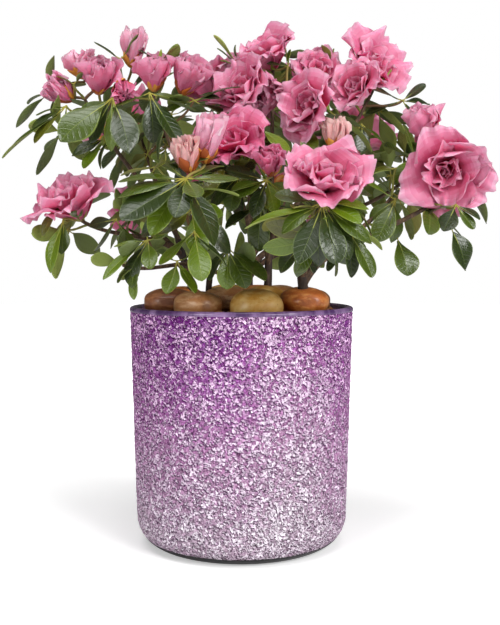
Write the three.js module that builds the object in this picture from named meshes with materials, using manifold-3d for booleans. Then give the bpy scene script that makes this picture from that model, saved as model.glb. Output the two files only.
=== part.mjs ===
// Potted florist azalea: a low, spreading shrub in a tall crackle-glass vase topped with river stones.
// Millimetres, +Z up. The origin is the middle of the vase's flat foot, and +Y points to the back.
import * as THREE from 'three';
import { mergeVertices } from 'three/addons/utils/BufferGeometryUtils.js';
import Module from 'manifold-3d';

const wasm = await Module();
wasm.setup();

// ---- Driving dimensions -------------------------------------------------------------------------

const CLEARANCE = 0.3; // between pieces that touch

const VASE = {
  height: 151,
  rimRadius: 70.8,
  heelRadius: 67.2, // where the wall meets the rounded heel
  footRadius: 50,
  heelHeight: 19,
  lip: 2, // radius of the rounded rim
  wall: 4,
  floor: 10, // thickness of the glass under the soil
};
const SOIL = { top: 144, clearance: 0.35 };
const VASE_SIDES = 40;

const STONES = {
  outer: { count: 8, ring: 46, long: 17, broad: 14, thick: 9.6 },
  inner: { count: 4, ring: 19, long: 14.5, broad: 12.5, thick: 9.8 },
};
const FIRST_STONE = 1.35; // bearing of the first stone, clockwise from +X in radians

// Stems rise from a flat cut on the soil. Each has its foot and tip as [x, y], the height of its tip,
// its radius at the foot and the tip, and its root flare.
const STEMS = [
  { name: 'stem_right', foot: [38, -29], tip: [37, -33], top: 170, thick: 3.4, thin: 2.9, flare: 1.8 },
  { name: 'stem_centre', foot: [16, -7], tip: [18, -4], top: 192, thick: 2.7, thin: 2.1, flare: 1.4 },
  { name: 'stem_left', foot: [-21, -17], tip: [-18, -21], top: 182, thick: 2.0, thin: 1.6, flare: 1.0 },
  { name: 'stem_back', foot: [4, 25], tip: [6, 38], top: 188, thick: 3.1, thin: 2.4, flare: 1.6 },
  { name: 'stem_back_left', foot: [-31, 18], tip: [-42, 26], top: 193, thick: 2.6, thin: 2.1, flare: 1.3 },
];

// Masses of leaves and blossom, in the order in which their boughs leave the stem. Each has its
// middle, its half width, half depth and half height, and the number of leaf fans round its core.
const MASSES = [
  { name: 'front_right', stem: 'stem_right', at: [47, -95, 207], half: [28, 28, 40], fans: 6 },
  { name: 'far_right', stem: 'stem_right', at: [125, -30, 223], half: [28, 28, 46], fans: 5 },
  { name: 'right', stem: 'stem_right', at: [92, -22, 216], half: [20, 26, 46], fans: 5 },
  { name: 'top', stem: 'stem_centre', at: [21, 0, 306], half: [35, 31, 23], fans: 6 },
  { name: 'centre_right', stem: 'stem_centre', at: [44, -38, 268], half: [22, 24, 22], fans: 5 },
  { name: 'right_top', stem: 'stem_centre', at: [82, -5, 287], half: [27, 31, 34], fans: 6 },
  { name: 'centre', stem: 'stem_centre', at: [3, -46, 244], half: [26, 25, 32], fans: 5 },
  { name: 'left_top', stem: 'stem_left', at: [-52, -20, 281], half: [31, 28, 35], fans: 6 },
  { name: 'front_left', stem: 'stem_left', at: [-36, -86, 220], half: [36, 26, 40], fans: 6 },
  { name: 'left_shoot', stem: 'stem_left', at: [-67, -58, 178], half: [16, 15, 19], fans: 4 },
  { name: 'front_low', stem: 'stem_left', at: [-16, -52, 176], half: [30, 20, 19], fans: 5 },
  { name: 'back', stem: 'stem_back', at: [2, 102, 238], half: [45, 29, 40], fans: 6 },
  { name: 'back_top', stem: 'stem_back', at: [0, 52, 286], half: [46, 32, 30], fans: 6 },
  { name: 'back_right', stem: 'stem_back', at: [76, 72, 250], half: [38, 30, 36], fans: 6 },
  { name: 'right_back', stem: 'stem_back', at: [112, 32, 238], half: [29, 28, 30], fans: 5 },
  { name: 'back_low_right', stem: 'stem_back', at: [54, 76, 202], half: [34, 26, 22], fans: 5 },
  { name: 'far_left', stem: 'stem_back_left', at: [-97, -10, 279], half: [33, 32, 28], fans: 6,
    leafTip: [-145, -28, 236] },
  { name: 'back_left', stem: 'stem_back_left', at: [-66, 62, 264], half: [36, 30, 28], fans: 6 },
  { name: 'left_low', stem: 'stem_back_left', at: [-101, -25, 206], half: [27, 27, 39], fans: 6 },
  { name: 'back_low_left', stem: 'stem_back_left', at: [-62, 74, 208], half: [34, 27, 27], fans: 5 },
];

// Shares of a mass's half sizes: its core and how far that swells, and its pointed leaf fans.
const MASS = { core: 0.9, swell: 0.2, fanReach: 1.14, fanBreadth: 0.55, fanThickness: 0.22 };
const FAN_HALF_LENGTH = 0.46; // beside the way from the middle of its mass to its tip
const TOP_FAN = 0.92; // sine of the height of the highest fan above the middle of its mass

const LIMB = { sides: 5, steps: 4, flareLength: 5 };
const BOUGH = {
  spacing: 0.13, // share of the stem between one bough and the next
  girth: 0.82, // beside the stem's radius at the fork
  tip: 1.0, // radius where it enters its mass
  climb: 0.16, // share of its reach that it follows the stem
  outward: 0.2, // share of its reach that it then heads for its mass
  sag: 0.1, // share of its reach that its far end hangs
};

// ---- Materials ----------------------------------------------------------------------------------

const finish = (color, roughness, metalness = 0) => ({ color, roughness, metalness });
const FINISHES = {
  vase: finish('#b08cb4', 0.2, 0.3),
  soil: finish('#33261c', 0.95),
  bark: finish('#3c3026', 0.85),
  foliage: finish('#55682f', 0.55),
  bloom: finish('#e08fac', 0.6),
};
const STONE_COLOURS = ['#8a6338', '#c89a55', '#a8783c', '#6e4c2c'];
const BLOOMING = ['top', 'centre', 'centre_right', 'right_top', 'back_top', 'far_left', 'left_top'];

// ---- Solids -------------------------------------------------------------------------------------

const GOLDEN_ANGLE = Math.PI * (3 - Math.sqrt(5));
const FULL_TURN = 2 * Math.PI;
const UP = new THREE.Vector3(0, 0, 1);

/** Position-only copy of a geometry, with the vertices that neighbouring faces share merged. */
function closedMesh(geometry) {
  geometry.deleteAttribute('normal');
  geometry.deleteAttribute('uv');
  return mergeVertices(geometry);
}

/** Moves every vertex of a geometry by a function from one Vector3 to another. */
function reshape(geometry, move) {
  const positions = geometry.getAttribute('position');
  const point = new THREE.Vector3();
  for (let i = 0; i < positions.count; i += 1) {
    point.fromBufferAttribute(positions, i);
    const moved = move(point.clone());
    positions.setXYZ(i, moved.x, moved.y, moved.z);
  }
  return geometry;
}

/** The solid that a closed mesh bounds. */
function toSolid(geometry) {
  const vertProperties = new Float32Array(geometry.getAttribute('position').array);
  const triVerts = new Uint32Array(geometry.getIndex().array);
  return new wasm.Manifold(new wasm.Mesh({ numProp: 3, vertProperties, triVerts }));
}

/** The three.js geometry of a solid. */
function toGeometry(solid) {
  const { vertProperties, triVerts } = solid.getMesh();
  const geometry = new THREE.BufferGeometry();
  geometry.setAttribute('position', new THREE.BufferAttribute(vertProperties, 3));
  geometry.setIndex(new THREE.BufferAttribute(triVerts, 1));
  geometry.computeVertexNormals();
  return geometry;
}

/** A solid of revolution about Z. Its profile of [radius, height] pairs starts and ends on the axis. */
function turned(profile) {
  const points = profile.map(([radius, height]) => new THREE.Vector2(radius, height));
  return new THREE.LatheGeometry(points, VASE_SIDES).rotateX(Math.PI / 2);
}

/** Points of an arc in a profile, about a middle, from one angle to another in degrees. */
function arc([radius, height], [acrossRadius, upRadius], fromAngle, toAngle, steps) {
  const points = [];
  for (let i = 0; i <= steps; i += 1) {
    const angle = THREE.MathUtils.degToRad(fromAngle + ((toAngle - fromAngle) * i) / steps);
    points.push([radius + acrossRadius * Math.cos(angle), height + upRadius * Math.sin(angle)]);
  }
  return points;
}

/** A round lump of unit size whose surface swells and sinks by swell; phase gives it its own shape. */
function lump(across, around, swell, phase) {
  const unit = closedMesh(new THREE.SphereGeometry(1, across, around));
  return reshape(unit, (p) => {
    const level = Math.sin(3.1 * p.x + phase) + Math.sin(3.7 * p.y + 2.3 * phase);
    const waves = level + Math.sin(4.3 * p.z - phase);
    return p.multiplyScalar(1 + (swell * waves) / 2);
  });
}

// ---- Vase, soil and stones ----------------------------------------------------------------------

/** Outer profile of the vase from the middle of its foot up to the start of its lip. */
function outerProfile() {
  const { heelRadius, footRadius, heelHeight } = VASE;
  const heelDepth = heelRadius - footRadius;
  return [[0, 0], ...arc([footRadius, heelHeight], [heelDepth, heelHeight], -90, 0, 4)];
}

/** Radius of the vase's inner wall at a height above its inner heel. */
function innerRadius(height) {
  const { heelRadius, rimRadius, heelHeight, wall } = VASE;
  const share = (height - heelHeight) / (VASE.height - heelHeight);
  return THREE.MathUtils.lerp(heelRadius, rimRadius, share) - wall;
}

/** Inner profile from a given height down round the inner heel to the axis, shrunk by a clearance. */
function innerProfile(top, clearance) {
  const { footRadius, heelRadius, heelHeight, wall, floor } = VASE;
  const heelDepth = heelRadius - footRadius - wall - clearance;
  const heel = arc([footRadius, heelHeight], [heelDepth, heelHeight - floor - clearance], 0, -90, 3);
  return [[innerRadius(top) - clearance, top], ...heel, [0, floor + clearance]];
}

function vaseGeometry() {
  const { height, rimRadius, lip, wall } = VASE;
  const rim = arc([rimRadius - wall / 2, height - lip], [wall / 2, lip], 0, 180, 3);
  return turned([...outerProfile(), ...rim, ...innerProfile(height - 2 * lip, 0)]);
}

function soilGeometry() {
  return turned([[0, SOIL.top], ...innerProfile(SOIL.top, SOIL.clearance)].reverse());
}

/** One river stone lying on the soil at a bearing on its ring, before its neighbours are cut from it. */
function stoneSolid({ ring, long, broad, thick }, bearing, index, grow = 0) {
  const size = 1 + 0.07 * Math.sin(2.4 * index);
  const pebble = lump(7, 5, 0.06, 1.7 * index);
  const halves = new THREE.Vector3(long * size + grow, broad * size + grow, thick * size + grow);
  reshape(pebble, (p) => p.multiply(halves));
  pebble.rotateZ(bearing + Math.PI / 2 + 0.35 * Math.sin(1.9 * index));
  pebble.computeBoundingBox();
  const lift = SOIL.top + CLEARANCE - grow - pebble.boundingBox.min.z;
  pebble.translate(ring * Math.cos(bearing), ring * Math.sin(bearing), lift);
  return toSolid(pebble);
}

// ---- Limbs --------------------------------------------------------------------------------------

/** A tapering limb along a curve. Its radius falls from thick to thin, with a flare at its foot. */
function limbSolid({ curve, thick, thin, flare = 0 }, grow = 0) {
  const { sides, steps, flareLength } = LIMB;
  const frames = curve.computeFrenetFrames(steps);
  const length = curve.getLength();
  const limb = closedMesh(new THREE.CylinderGeometry(1, 1, 1, sides, steps));
  reshape(limb, (p) => {
    const step = Math.round((p.y + 0.5) * steps);
    const along = step / steps;
    const swollen = flare * Math.exp((-along * length) / flareLength);
    const radius = THREE.MathUtils.lerp(thick, thin, along) + swollen + grow;
    const end = (step === steps ? grow : 0) - (step === 0 ? grow : 0);
    return curve.getPointAt(along)
      .addScaledVector(frames.tangents[step], end)
      .addScaledVector(frames.normals[step], p.x * radius)
      .addScaledVector(frames.binormals[step], -p.z * radius);
  });
  return toSolid(limb);
}

function stemLimb({ foot, tip, top, thick, thin, flare }) {
  const start = new THREE.Vector3(...foot, SOIL.top + CLEARANCE);
  const end = new THREE.Vector3(...tip, top);
  const upright = start.clone().lerp(end, 0.4).setX(start.x).setY(start.y);
  const nearTip = start.clone().lerp(end, 0.75);
  return { curve: new THREE.CubicBezierCurve3(start, upright, nearTip, end), thick, thin, flare };
}

/** The bough of one mass: it leaves its stem at its own height and bends out and up into the mass. */
function boughLimb(mass, stem, order) {
  const share = 1 - BOUGH.spacing * order;
  const start = stem.curve.getPointAt(share);
  const end = new THREE.Vector3(...mass.at);
  const reach = start.distanceTo(end);
  const heading = stem.curve.getTangentAt(share);
  const outward = end.clone().sub(start).normalize();
  const early = start.clone().addScaledVector(heading, BOUGH.climb * reach);
  early.addScaledVector(outward, BOUGH.outward * reach);
  const late = start.clone().lerp(end, 0.7).addScaledVector(UP, -BOUGH.sag * reach);
  const thick = BOUGH.girth * THREE.MathUtils.lerp(stem.thick, stem.thin, share);
  return { curve: new THREE.CubicBezierCurve3(start, early, late, end), thick, thin: BOUGH.tip };
}

// ---- Foliage ------------------------------------------------------------------------------------

/** A leaf fan: a flat pointed lobe from inside a mass to a point of its outline. */
function fanSolid(middle, tip, leastHalf, grow) {
  const along = tip.clone().sub(middle);
  const half = FAN_HALF_LENGTH * along.length();
  along.normalize();
  const side = new THREE.Vector3().crossVectors(along, UP).normalize();
  const flat = new THREE.Vector3().crossVectors(side, along);
  const lobe = closedMesh(new THREE.OctahedronGeometry(1));
  const breadth = MASS.fanBreadth * leastHalf;
  const thickness = MASS.fanThickness * leastHalf;
  lobe.scale(breadth + 2 * grow, half + 3 * grow, thickness + 2 * grow);
  lobe.applyMatrix4(new THREE.Matrix4().makeBasis(side, along, flat));
  const seat = tip.clone().addScaledVector(along, -half);
  lobe.translate(seat.x, seat.y, seat.z);
  return toSolid(lobe);
}

/** One mass of leaves and blossom: an uneven core with leaf fans that reach its outline all round. */
function massSolid({ at, half, fans, leafTip }, index, grow = 0) {
  const middle = new THREE.Vector3(...at);
  const halves = new THREE.Vector3(...half);
  const coreHalves = halves.clone().multiplyScalar(MASS.core).addScalar(grow);
  const core = lump(7, 5, MASS.swell, 1.3 * index);
  reshape(core, (p) => p.multiply(coreHalves).add(middle));
  const tips = [];
  for (let fan = 0; fan < fans; fan += 1) {
    const level = TOP_FAN * (1 - (2 * (fan + 0.5)) / fans);
    const around = fan * GOLDEN_ANGLE + index;
    const flat = Math.sqrt(1 - level * level);
    const direction = new THREE.Vector3(flat * Math.cos(around), flat * Math.sin(around), level);
    tips.push(direction.multiply(halves).multiplyScalar(MASS.fanReach).add(middle));
  }
  if (leafTip) tips.push(new THREE.Vector3(...leafTip));
  const leastHalf = Math.min(...half);
  return tips.reduce((solid, tip) => solid.add(fanSolid(middle, tip, leastHalf, grow)), toSolid(core));
}

// ---- Assembly -----------------------------------------------------------------------------------

/** Whether the boxes round two solids meet. */
function near(a, b) {
  const boxA = a.boundingBox();
  const boxB = b.boundingBox();
  const meet = (axis) => boxA.min[axis] <= boxB.max[axis] && boxB.min[axis] <= boxA.max[axis];
  return [0, 1, 2].every(meet);
}

/** A solid with every one of the others that comes near it cut away. */
function cutBy(solid, others) {
  return others.filter((other) => near(solid, other)).reduce((left, other) => left.subtract(other), solid);
}

function addPiece(group, name, geometry, look) {
  const mesh = new THREE.Mesh(geometry, new THREE.MeshStandardMaterial(look));
  mesh.name = name;
  group.add(mesh);
}

const azalea = new THREE.Group();
addPiece(azalea, 'vase', vaseGeometry(), FINISHES.vase);
addPiece(azalea, 'soil', soilGeometry(), FINISHES.soil);

const stems = STEMS.map((stem) => ({ ...stem, ...stemLimb(stem), boughs: 0 }));
for (const stem of stems) addPiece(azalea, stem.name, toGeometry(limbSolid(stem)), FINISHES.bark);

const swollenLimbs = stems.map((stem) => limbSolid(stem, CLEARANCE));
MASSES.forEach((mass, index) => {
  const stem = stems.find((candidate) => candidate.name === mass.stem);
  const limb = boughLimb(mass, stem, stem.boughs);
  stem.boughs += 1;
  const bough = cutBy(limbSolid(limb), [...swollenLimbs, massSolid(mass, index, CLEARANCE)]);
  addPiece(azalea, `bough_${mass.name}`, toGeometry(bough), FINISHES.bark);
  swollenLimbs.push(limbSolid(limb, CLEARANCE));
});

const swollenStones = [];
for (const [row, stones] of Object.values(STONES).entries()) {
  for (let i = 0; i < stones.count; i += 1) {
    const index = swollenStones.length;
    const bearing = (FULL_TURN * (i + 0.5 * row)) / stones.count - FIRST_STONE;
    const stone = cutBy(stoneSolid(stones, bearing, index), [...swollenLimbs, ...swollenStones]);
    const look = finish(STONE_COLOURS[index % STONE_COLOURS.length], 0.5);
    addPiece(azalea, `stone_${index + 1}`, toGeometry(stone), look);
    swollenStones.push(stoneSolid(stones, bearing, index, CLEARANCE));
  }
}

const swollenMasses = [];
MASSES.forEach((mass, index) => {
  const otherLimbs = swollenLimbs.filter((limb, order) => order !== stems.length + index);
  const neighbours = [...otherLimbs, ...swollenStones, ...swollenMasses];
  const solid = cutBy(massSolid(mass, index), neighbours);
  const look = BLOOMING.includes(mass.name) ? FINISHES.bloom : FINISHES.foliage;
  addPiece(azalea, `crown_${mass.name}`, toGeometry(solid), look);
  swollenMasses.push(massSolid(mass, index, CLEARANCE));
});

export default azalea;
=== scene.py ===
"""A potted florist azalea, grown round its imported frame: a crackle-glass vase, river stones, bark,
leaves and ruffled double blossom. Lengths are in metres, +Z is up and +Y points to the back."""

import math
from collections import namedtuple

import bmesh
import bpy
import numpy as np
from bpy.props import FloatProperty, FloatVectorProperty, IntProperty, PointerProperty
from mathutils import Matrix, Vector


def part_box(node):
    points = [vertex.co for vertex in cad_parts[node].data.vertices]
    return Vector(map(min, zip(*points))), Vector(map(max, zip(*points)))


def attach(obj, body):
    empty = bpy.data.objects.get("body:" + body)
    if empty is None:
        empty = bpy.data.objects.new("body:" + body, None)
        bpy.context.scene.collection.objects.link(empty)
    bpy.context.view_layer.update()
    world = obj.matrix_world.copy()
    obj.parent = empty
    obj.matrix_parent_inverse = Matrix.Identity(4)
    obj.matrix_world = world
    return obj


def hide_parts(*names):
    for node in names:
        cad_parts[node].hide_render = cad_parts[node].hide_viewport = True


bl_info = {
    "name": "Potted azalea",
    "version": (1, 0, 0),
    "blender": (4, 5, 0),
    "location": "3D View > Sidebar > Azalea",
    "description": "A florist azalea in a crackle-glass vase, grown round its packed frame",
    "category": "Add Mesh",
}

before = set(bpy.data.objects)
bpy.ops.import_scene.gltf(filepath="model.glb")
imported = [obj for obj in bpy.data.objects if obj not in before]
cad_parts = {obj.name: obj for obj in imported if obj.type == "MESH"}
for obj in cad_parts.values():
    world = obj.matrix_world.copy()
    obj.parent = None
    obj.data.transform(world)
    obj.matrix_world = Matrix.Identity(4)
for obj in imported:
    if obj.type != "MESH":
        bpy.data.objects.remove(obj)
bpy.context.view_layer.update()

# ---- What the frame says ----

MM = 0.001
UP = np.array((0.0, 0.0, 1.0))
GOLDEN_ANGLE = math.pi * (3 - math.sqrt(5))
FULL_TURN = 2 * math.pi
SEED = 20


def cad_points(node):
    """Every corner of a CAD node as rows of x, y, z."""
    return np.array([vertex.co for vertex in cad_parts[node].data.vertices])


def middle_and_half(low, high):
    """Middle and half size of the box between two corners."""
    return (low + high) / 2, (high - low) / 2


def node_box(node):
    """Middle and half size of a CAD node's box."""
    return middle_and_half(*(np.array(corner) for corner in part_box(node)))


VASE_RADIUS, _, VASE_HALF_HEIGHT = node_box("vase")[1]
VASE_HEIGHT = 2 * VASE_HALF_HEIGHT
SOIL_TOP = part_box("soil")[1].z
STONE_NODES = sorted(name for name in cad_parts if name.startswith("stone_"))
CROWN = "crown_"
MASSES = {name[len(CROWN):]: node_box(name) for name in sorted(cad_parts) if name.startswith(CROWN)}
CROWN_HEART = np.mean([middle for middle, half in MASSES.values()], axis=0)
FRONT_LIMIT = 0.02  # what lies in front of this Y is in the front pieces
FAR_LEFT_HEART = (0.24, 0.0, 0.22)  # its long leaf tip pulls the box's middle away from its heart

# Stems: radius at the foot, radius at the tip and root flare in millimetres, then the masses that
# their boughs carry, in the order in which the boughs leave the stem.
Stem = namedtuple("Stem", "thick thin flare masses")
STEMS = {
    "stem_right": Stem(3.4, 2.9, 1.8, ("front_right", "far_right", "right")),
    "stem_centre": Stem(2.7, 2.1, 1.4, ("top", "centre_right", "right_top", "centre")),
    "stem_left": Stem(2.0, 1.6, 1.0, ("left_top", "front_left", "left_shoot", "front_low")),
    "stem_back": Stem(3.1, 2.4, 1.6, ("back", "back_top", "back_right", "right_back", "back_low_right")),
    "stem_back_left": Stem(2.6, 2.1, 1.3, ("far_left", "back_left", "left_low", "back_low_left")),
}
BOUGH_SPACING = 0.13  # share of the stem between one bough and the next
BOUGH_GIRTH = 0.82  # beside the stem's radius at the fork
BOUGH_TIP = 1.0  # radius in millimetres
BOUGH_CLIMB = 0.16  # share of its reach that it goes on along the stem
BOUGH_OUTWARD = 0.2  # share of its reach that it then heads out
BOUGH_SAG = 0.1  # share of its reach that it hangs below a straight line


# ---- Numbers and directions ----


def unit(vector):
    """The vector at length one."""
    return vector / max(np.linalg.norm(vector), 1e-9)


def lerp(start, end, share):
    """The value a share of the way from start to end."""
    return start + (end - start) * share


def heading(clock, toward):
    """Direction at an angle anticlockwise from +X seen from the front, tipped toward the front."""
    turn = math.radians(clock)
    tip = math.radians(toward)
    return np.array((math.cos(turn) * math.cos(tip), -math.sin(tip), math.sin(turn) * math.cos(tip)))


def across(direction, hint):
    """The part of a hint that stands square to a direction, at length one."""
    square = hint - direction * np.dot(hint, direction)
    if np.linalg.norm(square) < 1e-3:
        square = np.cross(direction, (1.0, 0.0, 0.0))
    return unit(square)


def turned(vector, axis, angle):
    """The vector turned about an axis of length one."""
    swing = np.cross(axis, vector) * math.sin(angle)
    along = axis * np.dot(axis, vector) * (1 - math.cos(angle))
    return vector * math.cos(angle) + swing + along


def spun(x, y, angle):
    """Flat coordinates turned by an angle."""
    return x * np.cos(angle) - y * np.sin(angle), x * np.sin(angle) + y * np.cos(angle)


def walk(steps, lean):
    """How far ahead and how far aside a line gets that walks in steps, each at its own lean."""
    ahead = np.concatenate(((0,), np.cumsum(steps * np.cos(lean[:-1]))))
    aside = np.concatenate(((0,), np.cumsum(steps * np.sin(lean[:-1]))))
    return ahead, aside


def in_mass(name, share):
    """The point of a crown mass at a share of its half sizes from its middle."""
    middle, half = MASSES[name]
    return middle + half * np.array(share)


def bezier(start, early, late, end, steps):
    """Points evenly spaced in parameter along a cubic curve, both ends included."""
    t = np.linspace(0, 1, steps + 1)[:, None]
    near = (1 - t) ** 3 * start + 3 * (1 - t) ** 2 * t * early
    far = 3 * (1 - t) * t ** 2 * late + t ** 3 * end
    return near + far


# ---- Shader maths ----

BLADE = "blade"  # name of the flat coordinates that a leaf or petal carries


class Value:
    """One number socket of a shader. Arithmetic on it adds Math nodes."""

    def __init__(self, shader, socket):
        self.shader = shader
        self.socket = socket

    def math(self, operation, *operands):
        """A Math node on this number and others."""
        node = self.shader.add("ShaderNodeMath", {"operation": operation}, dict(enumerate(operands)))
        return Value(self.shader, node.outputs[0])

    def __add__(self, other):
        return self.math("ADD", self, other)

    def __sub__(self, other):
        return self.math("SUBTRACT", self, other)

    def __mul__(self, other):
        return self.math("MULTIPLY", self, other)

    def __truediv__(self, other):
        return self.math("DIVIDE", self, other)

    def __pow__(self, other):
        return self.math("POWER", self, other)

    def __rsub__(self, other):
        return self.math("SUBTRACT", other, self)

    __radd__ = __add__
    __rmul__ = __mul__

    def __abs__(self):
        return self.math("ABSOLUTE", self)

    def sine(self):
        """The sine of this number of radians."""
        return self.math("SINE", self)

    def capped(self, limit):
        """This number, or the limit where it is higher."""
        return self.math("MINIMUM", self, limit)

    def spread(self, low, high):
        """Nought below low and one above high, with a smooth ramp between."""
        limits = {"From Min": low, "From Max": high, "To Min": 0.0, "To Max": 1.0, "Value": self}
        settings = {"interpolation_type": "SMOOTHSTEP"}
        return Value(self.shader, self.shader.add("ShaderNodeMapRange", settings, limits).outputs[0])


class Shader:
    """The node tree of one new material, or of another holder of nodes."""

    def __init__(self, name, holder=None, surface="Principled BSDF"):
        self.holder = holder or bpy.data.materials.new(name)
        self.holder.use_nodes = True
        self.tree = self.holder.node_tree
        self.surface = self.tree.nodes[surface]

    def add(self, kind, settings=None, inputs=None):
        """A node of a type. Its settings are set first, then its sockets get values or links."""
        node = self.tree.nodes.new(kind)
        for name, setting in (settings or {}).items():
            if name == "stops":
                self.set_stops(node.color_ramp, setting)
            else:
                setattr(node, name, setting)
        for name, value in (inputs or {}).items():
            self.feed(node.inputs[name], value)
        return node

    def set_stops(self, ramp, stops):
        """Gives a colour ramp its (position, colour) stops."""
        while len(ramp.elements) < len(stops):
            ramp.elements.new(1.0)
        for element, (position, colour) in zip(ramp.elements, stops):
            element.position = position
            element.color = (*linear(colour), 1.0)

    def feed(self, socket, value):
        """Links a socket to a value, or gives it a plain number, colour or #rrggbb code."""
        source = value.socket if isinstance(value, Value) else linear(value)
        if isinstance(source, bpy.types.NodeSocket):
            self.tree.links.new(source, socket)
        elif hasattr(socket.default_value, "__len__") and len(socket.default_value) == 4:
            socket.default_value = (*source[:3], 1.0)
        else:
            socket.default_value = source

    def finish(self, **sockets):
        """Feeds sockets of the surface, named as on its node with _ for a space."""
        for name, value in sockets.items():
            self.feed(self.surface.inputs[name.replace("_", " ")], value)
        return self.holder

    def place(self):
        """Place on the object, in metres."""
        return self.add("ShaderNodeTexCoord").outputs["Object"]

    def blade(self):
        """Place on a leaf or petal, across it and then along it, from nought to one."""
        return self.add("ShaderNodeUVMap", {"uv_map": BLADE}).outputs["UV"]

    def split(self, vector):
        """The three numbers of a vector."""
        node = self.add("ShaderNodeSeparateXYZ", None, {0: vector})
        return [Value(self, output) for output in node.outputs]

    def vector(self, operation, *operands):
        """Vector maths on vectors, places and colours."""
        node = self.add("ShaderNodeVectorMath", {"operation": operation}, dict(enumerate(operands)))
        return node.outputs["Value" if operation == "DOT_PRODUCT" else "Vector"]

    def noise(self, vector, scale, detail=3.0, roughness=0.5, distortion=0.0):
        """Soft noise about one half."""
        inputs = {"Vector": vector, "Scale": scale, "Detail": detail}
        inputs.update({"Roughness": roughness, "Distortion": distortion})
        return Value(self, self.add("ShaderNodeTexNoise", None, inputs).outputs["Fac"])

    def streaks(self, squeeze, scale, *noise):
        """Noise that runs along the height, or across it where the height is squeezed."""
        return self.noise(self.vector("MULTIPLY", self.place(), (1.0, 1.0, squeeze)), scale, *noise)

    def cells(self, vector, scale):
        """The outputs of Voronoi cells."""
        inputs = {"Vector": vector, "Scale": scale}
        return self.add("ShaderNodeTexVoronoi", {"feature": "F1"}, inputs).outputs

    def facets(self, vector, scale):
        """Height in metres of cells that each tilt their own way, like chips of glass."""
        cell = self.cells(vector, scale)
        away = self.vector("SUBTRACT", vector, cell["Position"])
        tilt = self.vector("SUBTRACT", cell["Color"], (0.5, 0.5, 0.5))
        return Value(self, self.vector("DOT_PRODUCT", away, tilt))

    def warp(self, vector, scale, amount):
        """A vector pushed about by soft noise, to break up straight edges."""
        push = self.add("ShaderNodeTexNoise", None, {"Vector": vector, "Scale": scale, "Detail": 2.0})
        return self.vector("MULTIPLY_ADD", push.outputs["Color"], (amount, amount, amount), vector)

    def attribute(self, name):
        """A number that the mesh keeps at each of its points."""
        node = self.add("ShaderNodeAttribute", {"attribute_name": name})
        return Value(self, node.outputs["Fac"])

    def ramp(self, factor, stops):
        """Colour at a factor along a run of (position, colour) stops."""
        return self.add("ShaderNodeValToRGB", {"stops": stops}, {"Fac": factor}).outputs["Color"]

    def blend(self, factor, low, high):
        """Mix of two colours."""
        node = self.add("ShaderNodeMix", {"data_type": "RGBA"}, {0: factor, 6: low, 7: high})
        return node.outputs[2]

    def bump(self, height, strength, distance):
        """The surface's normal over a height."""
        inputs = {"Height": height, "Strength": strength, "Distance": distance}
        return self.add("ShaderNodeBump", None, inputs).outputs["Normal"]


def shade(code):
    """Linear colour of a #rrggbb code."""
    parts = [int(code[start:start + 2], 16) / 255 for start in (1, 3, 5)]
    return tuple(c / 12.92 if c <= 0.04045 else ((c + 0.055) / 1.055) ** 2.4 for c in parts)


def linear(value):
    """A #rrggbb code as a linear colour, and anything else as it is."""
    return shade(value) if isinstance(value, str) else value


# ---- Settings ----


def colour_setting(name, code, description):
    """A colour that a user can change."""
    return FloatVectorProperty(name=name, subtype="COLOR", size=3, min=0, max=1,
                               default=shade(code), description=description)


def length_setting(name, metres, description):
    """A small length that a user can change."""
    return FloatProperty(name=name, unit="LENGTH", precision=5, default=metres, description=description)


def share_setting(name, share, description):
    """A share that a user can change."""
    return FloatProperty(name=name, subtype="FACTOR", min=0, default=share, description=description)


class VaseSettings(bpy.types.PropertyGroup):
    """The glass of the vase"""
    shard: length_setting("Shard size", 1.7 * MM, "Width of one chip of the crushed glass on the wall")
    facet: length_setting("Facet size", 0.95 * MM, "Width of the facets that a chip is cut into")
    relief: length_setting("Relief", 0.5 * MM, "How far the chips stand in and out of the wall")
    top_colour: colour_setting("Top colour", "#7e358b", "Violet of the glass near the rim")
    foot_colour: colour_setting("Foot colour", "#c7b8c2", "Pale silver of the glass near the foot")
    lip_colour: colour_setting("Lip colour", "#472c58", "Deep violet of the smooth lip")


class StoneSettings(bpy.types.PropertyGroup):
    """The river stones and pebbles"""
    pebbles: IntProperty(
        name="Small pebbles", default=46, min=0,
        description="Number of small pebbles that fill the gaps between the river stones")
    wear: share_setting("Wear", 0.05, "How far a stone's outline leaves a plain egg shape")


class BarkSettings(bpy.types.PropertyGroup):
    """The bark of stems, boughs and twigs"""
    relief: length_setting("Bark relief", 0.3 * MM, "Depth of the ridges along the stems")
    stem_colour: colour_setting("Stem colour", "#34251c", "Brown-black of the old stems")
    twig_colour: colour_setting("Twig colour", "#6e5134", "Brown of the young twigs")


class LeafSettings(bpy.types.PropertyGroup):
    """The leaves"""
    length: length_setting("Leaf length", 34 * MM, "Length of a full-grown leaf")
    breadth: share_setting("Leaf breadth", 0.37, "Width of a leaf beside its length")
    thickness: length_setting("Leaf thickness", 0.4 * MM, "Thickness of a leaf blade")


class BlossomSettings(bpy.types.PropertyGroup):
    """The flowers and buds"""
    thickness: length_setting("Petal thickness", 0.35 * MM, "Thickness of a petal")
    ruffle: share_setting("Ruffle", 1.0, "How strongly the petals' margins are frilled")


class StageSettings(bpy.types.PropertyGroup):
    """The floor and the light"""
    floor_colour: colour_setting("Floor colour", "#f6f6f6", "Colour of the pale floor")
    key_power: FloatProperty(
        name="Key light", default=79.0, unit="POWER",
        description="Power of the large soft light over the front right")


def settings(name):
    """The scene's settings for one kind of piece."""
    return getattr(bpy.context.scene, "azalea_" + name)


# ---- Meshes ----


def faces_between(*corners):
    """Faces from grids of the numbers of their corners."""
    return np.stack(corners, axis=2).reshape(-1, len(corners))


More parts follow.
